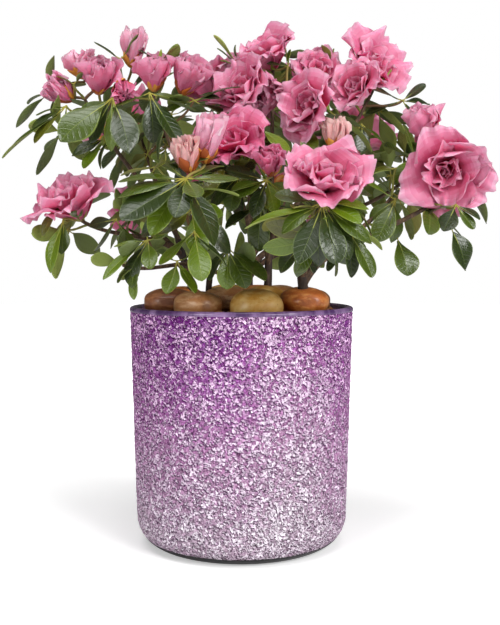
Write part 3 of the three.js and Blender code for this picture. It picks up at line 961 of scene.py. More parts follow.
# A shoot stands in a mass at a share of its half sizes and points along a heading of clock angle and
# lean toward the front, in degrees. Its leaves are (clock, toward, length in mm, width in mm, tint).
Shoot = namedtuple("Shoot", "mass at axis leaves")
HAND_SET_SHOOTS = [
    Shoot("front_left", (0.15, -0.45, 0.1), (85, 30), [(183, 5, 36, 10, "mid"), (197, 10, 38, 13, "mid"),
        (218, 25, 43, 22, "dark"), (262, 35, 27, 13, "dark"), (300, 50, 20, 11, "mid"),
        (290, 20, 43, 17, "dark"), (357, 5, 28, 9, "mid"), (240, 5, 36, 14, "bright"),
        (20, -40, 28, 10, "mid"), (150, -40, 30, 11, "mid")]),
    Shoot("front_right", (-0.1, -0.2, 0.15), (88, 30), [(249, 15, 36, 14, "dark"), (277, 20, 35, 15, "dark"),
        (295, 12, 34, 13, "dark"), (313, 10, 34, 11, "mid"), (200, 10, 44, 10, "bright"),
        (215, 5, 28, 9, "mid"), (331, 15, 24, 10, "bright"), (350, 8, 25, 11, "bright"),
        (345, -20, 28, 11, "mid"), (170, -30, 30, 11, "mid"), (265, -10, 34, 13, "dark"),
        (300, -25, 34, 12, "dark")]),
    Shoot("front_right", (0.45, -0.1, -0.25), (80, 20), [(293, 10, 27, 12, "mid"), (270, 0, 24, 11, "dark"),
        (330, 0, 20, 9, "bright"), (240, -10, 24, 11, "dark")]),
    Shoot("front_right", (-0.5, 0.8, -0.45), (80, 20), [(233, 5, 18, 12, "dark"), (270, 0, 17, 11, "mid"),
        (300, 0, 17, 11, "dark")]),
    Shoot("far_left", (0.0, -0.35, 0.05), (120, 25), [(222, 10, 50, 13, "mid"), (234, 15, 31, 12, "olive"),
        (217, 0, 27, 11, "dark"), (195, -10, 20, 9, "mid"), (270, 0, 18, 9, "mid")]),
    Shoot("far_left", (0.75, -0.6, 0.15), (80, 35), [(226, 20, 43, 21, "mid"), (268, 5, 33, 8, "bright"),
        (280, 0, 20, 9, "bright"), (292, 25, 43, 17, "dark"), (240, -5, 30, 12, "dark"),
        (210, -10, 26, 10, "mid")]),
    Shoot("far_left", (0.65, -0.5, -0.5), (200, 20), [(205, 5, 24, 9, "dark"), (236, 10, 24, 11, "bright"),
        (260, 0, 20, 9, "mid")]),
    Shoot("far_left", (0.85, -0.3, 0.85), (90, 10), [(148, 10, 19, 8, "dark"), (48, 10, 20, 8, "dark")]),
    Shoot("far_left", (0.1, -0.2, 0.45), (90, 20), [(35, 30, 12, 8, "dark"), (160, 20, 12, 7, "olive")]),
    Shoot("left_top", (0.0, -0.6, -0.1), (75, 25), [(299, 15, 38, 13, "dark"), (337, 10, 31, 12, "dark"),
        (345, -5, 20, 9, "mid"), (275, 0, 30, 13, "dark"), (200, -10, 24, 10, "mid")]),
    Shoot("left_top", (0.15, -0.1, 0.55), (70, 5), [(38, 5, 15, 9, "olive"), (80, 0, 8, 3, "pale"),
        (150, -5, 16, 7, "dark")]),
    Shoot("left_top", (0.9, -0.3, -0.2), (60, 20), [(14, 10, 30, 13, "dark"), (5, 0, 16, 7, "dark"),
        (330, 0, 24, 11, "dark"), (200, 0, 18, 8, "mid")]),
    Shoot("top", (-0.6, -0.1, -0.2), (115, 10), [(131, 10, 24, 7, "pale"), (144, 10, 17, 7, "dark"),
        (96, 5, 13, 6, "dark"), (165, 0, 12, 5, "bright")]),
    Shoot("top", (1.0, 0.1, -0.3), (105, 10), [(113, 15, 17, 10, "olive"), (80, 0, 14, 5, "bright")]),
    Shoot("top", (0.25, -0.3, -0.3), (95, 10), [(100, 10, 13, 4, "bright"), (80, 5, 11, 4, "bright"),
        (170, 0, 14, 8, "dark")]),
    Shoot("right_top", (0.65, -0.1, -0.2), (40, 10), [(35, 5, 17, 10, "dark"), (165, 10, 26, 12, "dark"),
        (297, 10, 18, 10, "dark"), (350, -10, 18, 10, "dark"), (200, -5, 24, 11, "dark")]),
    Shoot("right_top", (-0.3, -0.6, -0.7), (90, 20), [(272, 10, 18, 11, "dark"), (230, 0, 20, 10, "dark"),
        (320, 0, 18, 9, "mid")]),
    Shoot("right", (0.1, -0.1, 0.4), (70, 20), [(196, 10, 18, 7, "bright"), (190, 0, 15, 9, "olive")]),
    Shoot("right", (0.1, -0.1, -0.05), (60, 20), [(246, 15, 30, 14, "mid"), (263, 5, 27, 13, "mid"),
        (219, 0, 20, 9, "mid"), (150, -5, 24, 7, "bright")]),
    Shoot("right", (0.15, -0.1, -0.55), (70, 20), [(279, 15, 27, 17, "mid")]),
    Shoot("far_right", (0.1, -0.4, -0.2), (80, 30), [(245, 10, 18, 13, "dark"), (304, 5, 18, 9, "mid"),
        (330, -5, 17, 8, "dark"), (200, -20, 20, 10, "dark")]),
    Shoot("far_right", (0.0, -0.35, -0.45), (70, 60), [(288, 5, 29, 19, "dark")]),
    Shoot("left_low", (-0.2, -0.4, 0.25), (110, 20), [(239, 5, 24, 8, "olive"), (322, 5, 14, 9, "mid"),
        (180, -10, 12, 6, "mid")]),
    Shoot("left_low", (-0.2, -0.4, -0.05), (100, 20), [(256, 10, 34, 10, "bright"),
        (272, 0, 21, 10, "mid")]),
    Shoot("left_low", (0.85, -0.3, -0.05), (20, 20), [(193, 5, 17, 8, "dark"), (231, 5, 24, 7, "mid"),
        (300, 0, 20, 9, "mid")]),
    Shoot("left_shoot", (0.95, -0.25, 0.9), (120, 40), [(218, 5, 34, 7, "bright"), (195, 5, 20, 4, "bright"),
        (245, -5, 28, 12, "dark"), (10, 30, 14, 8, "bright"), (100, 30, 12, 6, "pale"),
        (280, 20, 18, 10, "bright")]),
    Shoot("left_shoot", (0.5, -0.2, 0.0), (100, 20), [(262, 10, 14, 8, "mid"), (268, 5, 20, 8, "bright"),
        (225, 5, 15, 7, "mid")]),
    Shoot("front_left", (0.25, -0.1, -0.7), (95, 20), [(281, 12, 28, 13, "bright"),
        (225, 5, 26, 14, "bright"), (310, 0, 26, 13, "dark")]),
    Shoot("front_low", (-0.95, -0.1, 0.25), (85, 20), [(300, 15, 22, 13, "bright"),
        (258, 10, 20, 10, "bright"), (160, 10, 15, 11, "mid"), (20, 0, 18, 10, "mid")]),
    Shoot("front_low", (0.15, -0.35, 0.7), (80, 25), [(318, 15, 30, 15, "mid"), (290, 10, 26, 13, "mid"),
        (268, 5, 24, 12, "bright"), (240, 0, 22, 12, "dark"), (180, 0, 22, 10, "mid")]),
    Shoot("centre", (0.4, -0.4, -1.0), (85, 25), [(303, 15, 27, 15, "mid"), (262, 0, 28, 13, "mid"),
        (215, 0, 26, 11, "dark"), (340, -10, 24, 10, "dark")]),
    Shoot("centre", (0.5, -0.75, -0.6), (95, 35), [(200, 15, 22, 9, "mid"), (250, 15, 24, 11, "dark"),
        (285, 15, 20, 10, "bright"), (320, 5, 20, 8, "bright"), (170, -5, 24, 9, "dark"),
        (218, 20, 20, 12, "mid")]),
    Shoot("centre", (-0.25, -0.4, -0.5), (95, 30), [(190, 10, 24, 10, "dark"), (165, 0, 24, 10, "dark"),
        (260, 10, 22, 11, "mid"), (230, 5, 26, 12, "dark"), (310, 5, 22, 10, "dark")]),
]
FILL_SHOOTS = {  # how many shoots the rule adds inside each mass
    "front_right": 3, "far_right": 2, "right": 1, "top": 3, "centre_right": 4, "right_top": 3,
    "centre": 5, "left_top": 3, "front_left": 3, "left_shoot": 1, "front_low": 1, "back": 9,
    "back_top": 8, "back_right": 8, "right_back": 6, "back_low_right": 6, "far_left": 3,
    "back_left": 8, "left_low": 2, "back_low_left": 6,
}
FILL_REACH = {"right": 0.4, "far_right": 0.45, "left_low": 0.45, "left_shoot": 0.4, "top": 0.45}
FULL_FILL_REACH = 0.6  # how far out of its middle the rule fills a mass that FILL_REACH leaves out
FILL_TINTS = ("dark", "mid", "dark", "bright", "mid", "dark", "olive")
SKIRT = VASE_HEIGHT + 16 * MM  # no leaf set by the rule hangs lower than this
SPIRAL_TURN = 900  # radians for each metre of a mass's half width, so that no two spirals match
WHORL_TILTS = (52, 108)  # degrees between a shoot and its first and last leaf
WHORL_LENGTHS = (0.68, 1.02)  # of its first and last leaf, beside a full-grown one
LEAF_DROOP = 0.18
FLOWER_SPACE = (-0.15, 1.1)  # leaves keep out from under a flower to over its face, in its sizes
FLOWER_REACH = 0.5  # and out to this far beside its axis

OPEN_KINDS = ("open", "loose")
OPEN_DEPTH = 0.34  # how far below its middle a flower's base sits, in its sizes
BUD_DEPTH = 0.5

# A flower's middle is at a share of its mass's half sizes. It faces a heading, measures so many mm
# (across when open, tall as a bud) and is of a kind and a tint.
Flower = namedtuple("Flower", "mass at axis size kind tint")
HAND_SET_FLOWERS = [
    Flower("front_right", (0.0, 0.0, 0.62), (86, 46), 56, "open", "pink"),
    Flower("far_right", (-0.05, -0.3, 0.2), (255, 72), 55, "loose", "pink"),
    Flower("far_right", (-0.5, 0.25, 0.85), (112, 12), 24, "frilled", "pink"),
    Flower("centre_right", (-0.35, -0.35, 0.15), (165, 50), 44, "open", "pink"),
    Flower("centre_right", (0.43, -0.8, -0.85), (92, 10), 18, "bud", "salmon"),
    Flower("top", (-0.6, -0.95, -1.0), (135, 35), 46, "open", "pink"),
    Flower("top", (-0.1, -0.8, -1.3), (190, 50), 28, "frilled", "pink"),
    Flower("centre", (-0.42, -0.5, 0.2), (112, 42), 44, "loose", "deep"),
    Flower("centre", (0.6, -0.85, -0.25), (100, 35), 19, "frilled", "deep"),
    Flower("top", (-0.15, -0.2, 0.4), (112, 28), 48, "open", "pink"),
    Flower("top", (0.75, -0.2, -0.25), (98, 55), 34, "open", "pink"),
    Flower("right_top", (-0.5, -0.65, 0.05), (140, 45), 42, "open", "pink"),
    Flower("right_top", (0.15, 0.25, 0.6), (45, 45), 50, "loose", "pink"),
    Flower("left_low", (-0.12, -0.35, 0.42), (114, 24), 54, "loose", "pink"),
    Flower("front_left", (0.15, -0.2, 0.5), (100, 12), 20, "bud", "salmon"),
    Flower("front_left", (0.45, -0.1, 0.72), (82, 14), 25, "half", "pale"),
    Flower("far_left", (-0.16, -0.06, 0.37), (145, 25), 20, "bud", "pink"),
    Flower("far_left", (0.15, 0.15, 0.86), (105, 10), 18, "frilled", "pale"),
    Flower("far_left", (0.5, -0.25, 0.6), (85, 30), 24, "frilled", "pink"),
    Flower("far_left", (0.9, -0.45, 0.3), (300, 50), 18, "bud", "deep"),
    Flower("left_top", (-0.4, 0.05, 0.85), (84, 12), 23, "half", "pale"),
    Flower("left_top", (0.05, -0.2, 0.35), (90, 20), 22, "frilled", "pink"),
    Flower("left_top", (0.8, -0.15, 0.3), (65, 20), 25, "frilled", "pink"),
    Flower("back_top", (-0.5, 0.1, 0.5), (100, -30), 50, "open", "pink"),
    Flower("back_top", (0.4, 0.5, 0.4), (80, -50), 52, "open", "pale"),
    Flower("back_top", (0.0, 0.8, -0.2), (95, -60), 46, "open", "pink"),
    Flower("back_top", (0.7, -0.1, 0.5), (60, -10), 24, "frilled", "pink"),
    Flower("back_right", (0.3, 0.3, 0.65), (60, -40), 52, "open", "pink"),
    Flower("back_right", (-0.4, 0.7, 0.3), (100, -60), 44, "open", "pale"),
    Flower("right_back", (0.5, 0.2, 0.5), (30, -20), 50, "open", "pink"),
    Flower("back", (0.2, 0.55, 0.6), (80, -55), 54, "open", "pink"),
    Flower("back", (-0.6, 0.4, 0.4), (130, -50), 46, "open", "deep"),
    Flower("back", (0.7, 0.5, 0.0), (40, -60), 26, "frilled", "pink"),
    Flower("back_left", (-0.2, 0.5, 0.6), (110, -45), 52, "open", "pink"),
    Flower("back_left", (-0.8, 0.0, 0.2), (160, -20), 24, "frilled", "pale"),
    Flower("back_left", (0.4, 0.7, 0.1), (90, -60), 22, "bud", "salmon"),
    Flower("back_low_left", (-0.5, 0.5, 0.3), (150, -50), 42, "open", "pink"),
    Flower("back_low_right", (0.3, 0.8, 0.2), (60, -60), 40, "open", "pink"),
]

# A grown shoot has its place and its axis in the scene, and its leaves have grown from there too.
GrownLeaf = namedtuple("GrownLeaf", "root direction normal length width tint")
GrownShoot = namedtuple("GrownShoot", "mass at axis leaves")


def grow_hand_set(shoot):
    """A shoot whose leaves are listed one by one."""
    at = in_mass(shoot.mass, shoot.at)
    axis = heading(*shoot.axis)
    leaves = []
    for clock, toward, length, width, tint in shoot.leaves:
        direction = heading(clock, toward)
        leaves.append(GrownLeaf(at, direction, across(direction, axis), length * MM, width * MM, tint))
    return GrownShoot(shoot.mass, at, axis, leaves)


def grow_by_rule(mass, number, count, options, random):
    """A shoot in the spiral of a mass, with a whorl of leaves that grow longer and droop lower."""
    middle, half = MASSES[mass]
    level = 1 - 2 * (number + 0.5) / count
    around = number * GOLDEN_ANGLE + half[0] * SPIRAL_TURN
    flat = math.sqrt(1 - level * level)
    outward = np.array((flat * math.cos(around), flat * math.sin(around), level))
    if middle[1] < 0:
        outward[1] = abs(outward[1])
    at = middle + outward * half * FILL_REACH.get(mass, FULL_FILL_REACH) * random.uniform(0.75, 1.05)
    axis = unit(0.5 * unit(at - CROWN_HEART) + 0.45 * outward + 0.5 * UP)
    leaves = []
    whorl = 6 + number % 3
    for leaf in range(whorl):
        share = leaf / (whorl - 1)
        tilt = math.radians(lerp(*WHORL_TILTS, share) + random.uniform(-8, 8))
        spin = leaf * GOLDEN_ANGLE + random.uniform(-0.2, 0.2)
        side = turned(across(axis, UP), axis, spin)
        direction = unit(axis * math.cos(tilt) + side * math.sin(tilt) - LEAF_DROOP * UP)
        length = options.length * lerp(*WHORL_LENGTHS, share) * random.uniform(0.85, 1.1)
        width = length * options.breadth * random.uniform(0.9, 1.15)
        tint = FILL_TINTS[random.integers(len(FILL_TINTS))]
        tip = at + direction * length
        if tip[2] > SKIRT and not hides_flower(at, tip):
            leaves.append(GrownLeaf(at, direction, across(direction, axis), length, width, tint))
    return GrownShoot(mass, at, axis, leaves)


def flower_middle(flower):
    """The middle of a flower's face, or of a bud."""
    return in_mass(flower.mass, flower.at)


def flower_root(flower):
    """Where a flower's base sits below its middle."""
    depth = OPEN_DEPTH if flower.kind in OPEN_KINDS else BUD_DEPTH
    return flower_middle(flower) - heading(*flower.axis) * depth * flower.size * MM


def hides_flower(root, tip):
    """Whether a leaf from root to tip would lie in a flower or over its face."""
    for flower in HAND_SET_FLOWERS:
        axis = heading(*flower.axis)
        for share in (0.35, 0.7, 1.0):
            away = lerp(root, tip, share) - flower_middle(flower)
            along = np.dot(away, axis)
            beside = np.linalg.norm(away - along * axis)
            size = flower.size * MM
            if FLOWER_SPACE[0] < along / size < FLOWER_SPACE[1] and beside < FLOWER_REACH * size:
                return True
    return False


def crown_plan():
    """Every shoot of the crown, the listed ones first."""
    random = np.random.default_rng(SEED + 2)
    shoots = [grow_hand_set(shoot) for shoot in HAND_SET_SHOOTS]
    for mass, count in FILL_SHOOTS.items():
        for number in range(count):
            shoots.append(grow_by_rule(mass, number, count, settings("leaves"), random))
    return shoots


# ---- Twigs ----

TWIG_SIDES = 7
TWIG_TIP = 0.62  # radii in millimetres
TWIG_THICKEST = 1.1
TWIG_SWAY = 0.05  # how far a twig strays beside its length
TWIG_KNOT = 0.12 * MM
GREEN_REACH = 22 * MM  # twigs up to this length are still green
SHORTEST_TWIG = 2 * MM
FORK_BEFORE = 12 * MM  # a twig forks off the bough near this far behind its shoot


def twig_material(name, colour):
    """Smooth young bark."""
    shader = Shader(name)
    normal = shader.bump(shader.streaks(0.4, 500), 0.3, 0.2 * MM)
    return shader.finish(Base_Color=colour, Roughness=0.6, Normal=normal)


def add_twig(bundle, path, shoot, random):
    """A knotty twig from the bough of a mass to one of its shoots."""
    spots = path[len(path) // 2:]
    fork = spots[np.argmin(np.linalg.norm(spots - shoot.at + FORK_BEFORE * shoot.axis, axis=1))]
    reach = np.linalg.norm(shoot.at - fork)
    if reach < SHORTEST_TWIG:
        return
    early = lerp(fork, shoot.at, 0.35) + random.normal(0, TWIG_SWAY, 3) * reach
    curve = bezier(fork, early, shoot.at - shoot.axis * 0.35 * reach, shoot.at, 10)
    radii = np.linspace(min(TWIG_THICKEST, 0.7 + 8 * reach), TWIG_TIP, len(curve)) * MM
    knots = np.maximum(0, np.sin(np.arange(len(curve)) * 2.1 + reach * 900))[:, None]
    relief = TWIG_KNOT * knots * np.ones(TWIG_SIDES)
    bundle.tube(curve, radii, TWIG_SIDES, 0 if reach > GREEN_REACH else 1, relief)


def add_stalk(bundle, flower, shoots):
    """A stalk from the nearest shoot of its mass to a flower."""
    root = flower_root(flower)
    own = [shoot for shoot in shoots if shoot.mass == flower.mass]
    shoot = min(own, key=lambda shoot: np.linalg.norm(shoot.at - root))
    reach = np.linalg.norm(root - shoot.at)
    axis = heading(*flower.axis)
    early = lerp(shoot.at, root, 0.3) + 0.15 * reach * shoot.axis
    curve = bezier(shoot.at, early, root - 0.35 * reach * axis, root + axis * 0.4 * MM, 8)
    bundle.tube(curve, np.linspace(0.7, 0.9, len(curve)) * MM, TWIG_SIDES, 2)


def build_twigs(options):
    """A twig from the bough of its mass to every shoot, and a stalk from a shoot to every flower."""
    random = np.random.default_rng(SEED + 3)
    shoots = crown_plan()
    bundle = Bundle()
    boughs = {mass: bough_path(node, order)
              for node, stem in STEMS.items() for order, mass in enumerate(stem.masses)}
    for shoot in shoots:
        add_twig(bundle, boughs[shoot.mass], shoot, random)
    for flower in HAND_SET_FLOWERS:
        add_stalk(bundle, flower, shoots)
    materials = [twig_material("twig_bark", options.twig_colour),
                 twig_material("green_twig", "#7d7d35"),
                 twig_material("flower_stalk", "#8b7d40")]
    stand_for(bundle.piece("twigs", materials, BARK_CREASE), [CROWN + mass for mass in MASSES])


# ---- Leaves ----

LEAF_TINTS = {  # colour of a blade's middle, its margin and its underside; the paler margin is partly its pale hairs, partly painted rim light
    "dark": ("#25330b", "#475622", "#65743a"),
    "mid": ("#3d4e08", "#60701f", "#76843a"),
    "bright": ("#5a7008", "#7f9228", "#889742"),
    "olive": ("#50520a", "#707322", "#807f34"),
    "pale": ("#8b9c34", "#9aaa44", "#a3ad57"),
}
LEAF_PARTS = 4  # materials for each tint: middle, margin, underside and midrib
PETIOLE = LEAF_PARTS * len(LEAF_TINTS)
RIB_FOOT = PETIOLE + 1
LEAF_ROWS = 13
LEAF_STRIPS = 7  # faces across a blade, the midrib in the middle
LEAF_RIB_HALF = 0.28 * MM
LEAF_SHARES = np.array((1.0, 0.91, 0.48))  # where the lines of a half blade run, from its margin in
LEAF_ROLL = 0.16  # radians that a leaf turns about its own line
LEAF_ARCH = (0.15, 0.75)  # least and most of each form
LEAF_BLUNTNESS = (0.55, 0.8)
LEAF_FOLD = (0.1, 0.38)
LEAF_CUP = (0.1, 0.3)
LEAF_WAVE = 0.05  # depth of the margin's waves beside the leaf's width
LEAF_TWIST = 0.22  # radians from its foot to its tip
LEAF_CURL = 0.05  # how far the tip bends aside, beside the leaf's length
RIB_DEPTH = 0.25 * MM
PETIOLE_SHARE = 0.14  # of the leaf's length
PETIOLE_RADII = np.array((0.55, 0.4, 0.36, 0.3)) * MM


def blade_material(name, colour, roughness):
    """A leaf's skin, with its side veins sunk in between soft quilting."""
    shader = Shader(name)
    s, t, _ = shader.split(shader.blade())
    beside = abs(s - 0.5) * 2
    veins = ((t * 9 - beside * 2.2) * FULL_TURN).sine()
    ribs = veins.spread(0.6, 1.0)
    grain = shader.noise(shader.place(), 520, 4.0, 0.6)
    height = grain * 0.9 - ribs * 0.4
    return shader.finish(Base_Color=colour, Roughness=roughness, Specular_IOR_Level=0.7,
                         Normal=shader.bump(height, 0.6, 0.5 * MM))


def leaf_materials():
    """Middle, margin, underside and midrib of each tint, then the petiole and the midrib's foot."""
    materials = []
    for tint, codes in LEAF_TINTS.items():
        for part, code, roughness in zip(("middle", "margin", "underside"), codes, (0.3, 0.36, 0.6)):
            materials.append(blade_material(f"leaf_{tint}_{part}", code, roughness))
        rib = lerp(np.array(shade(codes[0])), np.array(shade(codes[2])), 0.55)
        materials.append(Shader(f"leaf_{tint}_rib").finish(Base_Color=rib, Roughness=0.5))
    for name, code in (("leaf_petiole", "#989134"), ("leaf_rib_foot", "#8b9242")):
        materials.append(Shader(name).finish(Base_Color=code, Roughness=0.5))
    return materials


def add_leaf(bundle, leaf, thickness, random):
    """One leaf: a petiole and a folded, arching blade with a sunken midrib."""
    petiole = PETIOLE_SHARE * leaf.length
    normal = turned(leaf.normal, leaf.direction, random.normal(0, LEAF_ROLL))
    side = np.cross(leaf.direction, normal)
    # the arched line of the midrib from the petiole on
    t = 1 - (1 - np.linspace(0, 1, LEAF_ROWS)) ** 1.35
    slope = random.uniform(*LEAF_ARCH) * (0.45 - t ** 1.3)
    run, rise = walk((leaf.length - petiole) * np.diff(t), slope)
    # half widths of the blade and of its midrib, and the lines that run along them
    blunt = random.uniform(*LEAF_BLUNTNESS)
    outline = np.sin(math.pi * t ** random.uniform(1.15, 1.4))
    half = 0.51 * leaf.width * np.where(t < 0.6, outline ** (blunt + 0.15), outline ** blunt)
    half = np.maximum(half, np.where(t < 0.5, 0.45 * MM, 0.12 * MM))
    rib = np.minimum(LEAF_RIB_HALF * (1.2 - 0.9 * t), 0.5 * half)
    wings = half[:, None] * LEAF_SHARES
    x = np.concatenate((-wings, -rib[:, None], rib[:, None], wings[:, ::-1]), axis=1)
    s = x / half[:, None]
    # the height of each point over the midrib's line: a folded and cupped blade with a wavy margin
    fold = random.uniform(*LEAF_FOLD)
    cup = random.uniform(*LEAF_CUP)
    phase = random.uniform(0, FULL_TURN)
    wave = LEAF_WAVE * leaf.width * np.sin(5.5 * t[:, None] + phase + 0.8 * np.sign(s)) * np.abs(s) ** 2
    z = fold * np.abs(x) - cup * x ** 2 / (half[:, None] + 1 * MM) + wave
    z[:, 3:5] -= RIB_DEPTH * np.sin(math.pi * np.minimum(1, t + 0.08))[:, None]
    twist = random.normal(0, LEAF_TWIST) * t[:, None]
    curl = random.normal(0, LEAF_CURL) * leaf.length * t ** 2
    x, z = spun(x, z, twist)
    x = x + curl[:, None]
    along = petiole + run[:, None] - z * np.sin(slope)[:, None]
    lift = rise[:, None] + z * np.cos(slope)[:, None]
    grid = leaf.root + x[..., None] * side + along[..., None] * leaf.direction + lift[..., None] * normal
    tint = LEAF_PARTS * list(LEAF_TINTS).index(leaf.tint)
    over = np.full((LEAF_ROWS - 1, LEAF_STRIPS), tint)
    # the thin outer strips take the paler margin colour: pale hairs and painted rim light
    over[:, (0, -1)] = tint + 1
    over[:, 3] = tint + 3
    over[:3, 3] = RIB_FOOT
    bundle.shell(grid, thickness, over, np.full(over.shape, tint + 2))
    start = leaf.root - 0.6 * MM * leaf.direction
    end = leaf.root + leaf.direction * (petiole + 0.8 * MM)
    stalk = bezier(start, lerp(start, end, 0.4) + 0.1 * petiole * normal, lerp(start, end, 0.7), end, 3)
    bundle.tube(stalk, PETIOLE_RADII, 5, PETIOLE)


def at_front(mass):
    """Whether a crown mass is one of those at the front."""
    return MASSES[mass][0][1] < FRONT_LIMIT


def build_leaves(options):
    """All leaves, joined into three pieces that each stay light."""
    random = np.random.default_rng(SEED + 4)
    materials = leaf_materials()
    bundles = {"leaves_front": Bundle(), "leaves_back_left": Bundle(), "leaves_back_right": Bundle()}
    for shoot in crown_plan():
        back = "leaves_back_left" if shoot.at[0] < CROWN_HEART[0] else "leaves_back_right"
        bundle = bundles["leaves_front" if at_front(shoot.mass) else back]
        for leaf in shoot.leaves:
            add_leaf(bundle, leaf, options.thickness, random)
    for name, bundle in bundles.items():
        nodes = [CROWN + mass for mass in MASSES if at_front(mass) == (name == "leaves_front")]
        stand_for(bundle.piece(name, materials), nodes)


# ---- Blossom ----

TONES = 16
PETAL_TINTS = {  # colours at the throat, a little way out from it, over the petal and at its margin
    "pink": ("#7c0014", "#ac153a", "#cd5d82", "#e3a2ba"),
    "deep": ("#70000f", "#9c0c30", "#bf3b66", "#db83a3"),
    "pale": ("#86051c", "#b83352", "#d67a96", "#e8b4c5"),
    "salmon": ("#8d2a32", "#b55c5f", "#cd8686", "#ddaea8"),
}

# A ring of petals: how many, their length beside the flower's size, how far they lean out at the root
# and at the margin in degrees, half their width beside their length, how far round they roll in
# radians, their frill, how far their tones start from the throat, and how deep their folds are.
Ring = namedtuple("Ring", "count length root_lean tip_lean width roll frill tone folds", defaults=(0.2,))
FLOWER_RINGS = {
    "open": (
        Ring(5, 0.6, 22, 98, 0.57, 0.3, 1.2, 3.2, 0.5),
        Ring(5, 0.5, 14, 64, 0.5, 0.65, 1.5, 2.4, 0.6),
        Ring(4, 0.38, 6, 36, 0.52, 1.0, 1.5, 0.2, 0.6),
        Ring(4, 0.28, -4, 12, 0.48, 1.3, 1.5, -2.0, 0.6)),
    "loose": (
        Ring(5, 0.64, 24, 100, 0.5, 0.3, 1.2, 4.0, 0.5),
        Ring(4, 0.52, 16, 70, 0.44, 0.6, 1.4, 3.0, 0.6),
        Ring(4, 0.4, 6, 36, 0.46, 0.95, 1.5, 0.6, 0.6),
        Ring(4, 0.29, -4, 12, 0.44, 1.3, 1.5, -1.6, 0.6)),
    "half": (
        Ring(3, 1.06, 30, -12, 0.33, 1.15, 0.8, 9.0, 0.6),
        Ring(4, 1.0, 20, -6, 0.3, 1.1, 1.0, 7.0, 0.8),
        Ring(4, 0.85, 10, -2, 0.28, 1.2, 1.2, 5.0, 0.8)),
    "frilled": (
        Ring(5, 1.0, 36, 14, 0.4, 0.85, 1.6, 6.8, 0.9),
        Ring(5, 0.95, 26, 2, 0.38, 0.95, 1.7, 5.6, 1.0),
        Ring(4, 0.85, 16, -4, 0.34, 1.1, 1.7, 4.0, 1.0),
        Ring(4, 0.6, 4, 0, 0.36, 1.3, 1.6, 0.5, 0.8)),
    "bud": (
        Ring(5, 1.0, 44, -34, 0.34, 1.05, 0.9, 8.0, 1.3),
        Ring(5, 1.0, 32, -24, 0.3, 1.05, 1.2, 6.6, 1.4),
        Ring(5, 0.92, 18, -12, 0.26, 1.1, 1.4, 4.8, 1.4)),
}
PETAL_FOOT = 1.4 * MM  # how far from its flower's axis a petal's foot stands
PETAL_CREASE = 110.0  # degrees
PETAL_SWING = 0.18  # radians that a petal strays round its flower
PETAL_LENGTHS = (0.9, 1.07)  # beside its ring's length
WAVE = 0.05  # depths of a petal's forms beside its length: broad waves over the whole blade
RUFFLE = 0.06  # ruffles toward the margin
FRILL = 0.05  # fine frill of the margin
SIDE_RUFFLE = 0.06  # ruffles down both sides
FOLD = 0.035  # folds that run out from the throat
LAP = 0.05  # how far one side lies over the next petal
CREASE = 0.05  # on both sides of the middle line
CUP = 0.05  # how far the sides bend in or out
PETAL_NETS = ((25 * MM, (13, 23)), (12 * MM, (11, 15)), (0.0, (9, 11)))  # rows and columns past a length


def petal_material(name, colour):
    """Soft petal tissue with fine veins that run out from the throat."""
    shader = Shader(name)
    veins = shader.noise(shader.vector("MULTIPLY", shader.blade(), (22.0, 2.5, 1.0)), 1.0, 2.0)
    return shader.finish(Base_Color=colour, Roughness=0.5, Subsurface_Weight=0.4,
                         Subsurface_Radius=(1.0, 0.25, 0.4), Subsurface_Scale=3 * MM,
                         Normal=shader.bump(veins, 0.35, 0.3 * MM))


def petal_materials():
    """Every tone of every tint, from the throat out to the margin."""
    materials = []
    for tint, codes in PETAL_TINTS.items():
        keys = np.array([shade(code) for code in codes])
        for tone in range(TONES):
            at = tone * (len(keys) - 1) / (TONES - 1)
            colour = [np.interp(at, range(len(keys)), keys[:, part]) for part in range(3)]
            materials.append(petal_material(f"petal_{tint}_{tone + 1}", colour))
    return materials


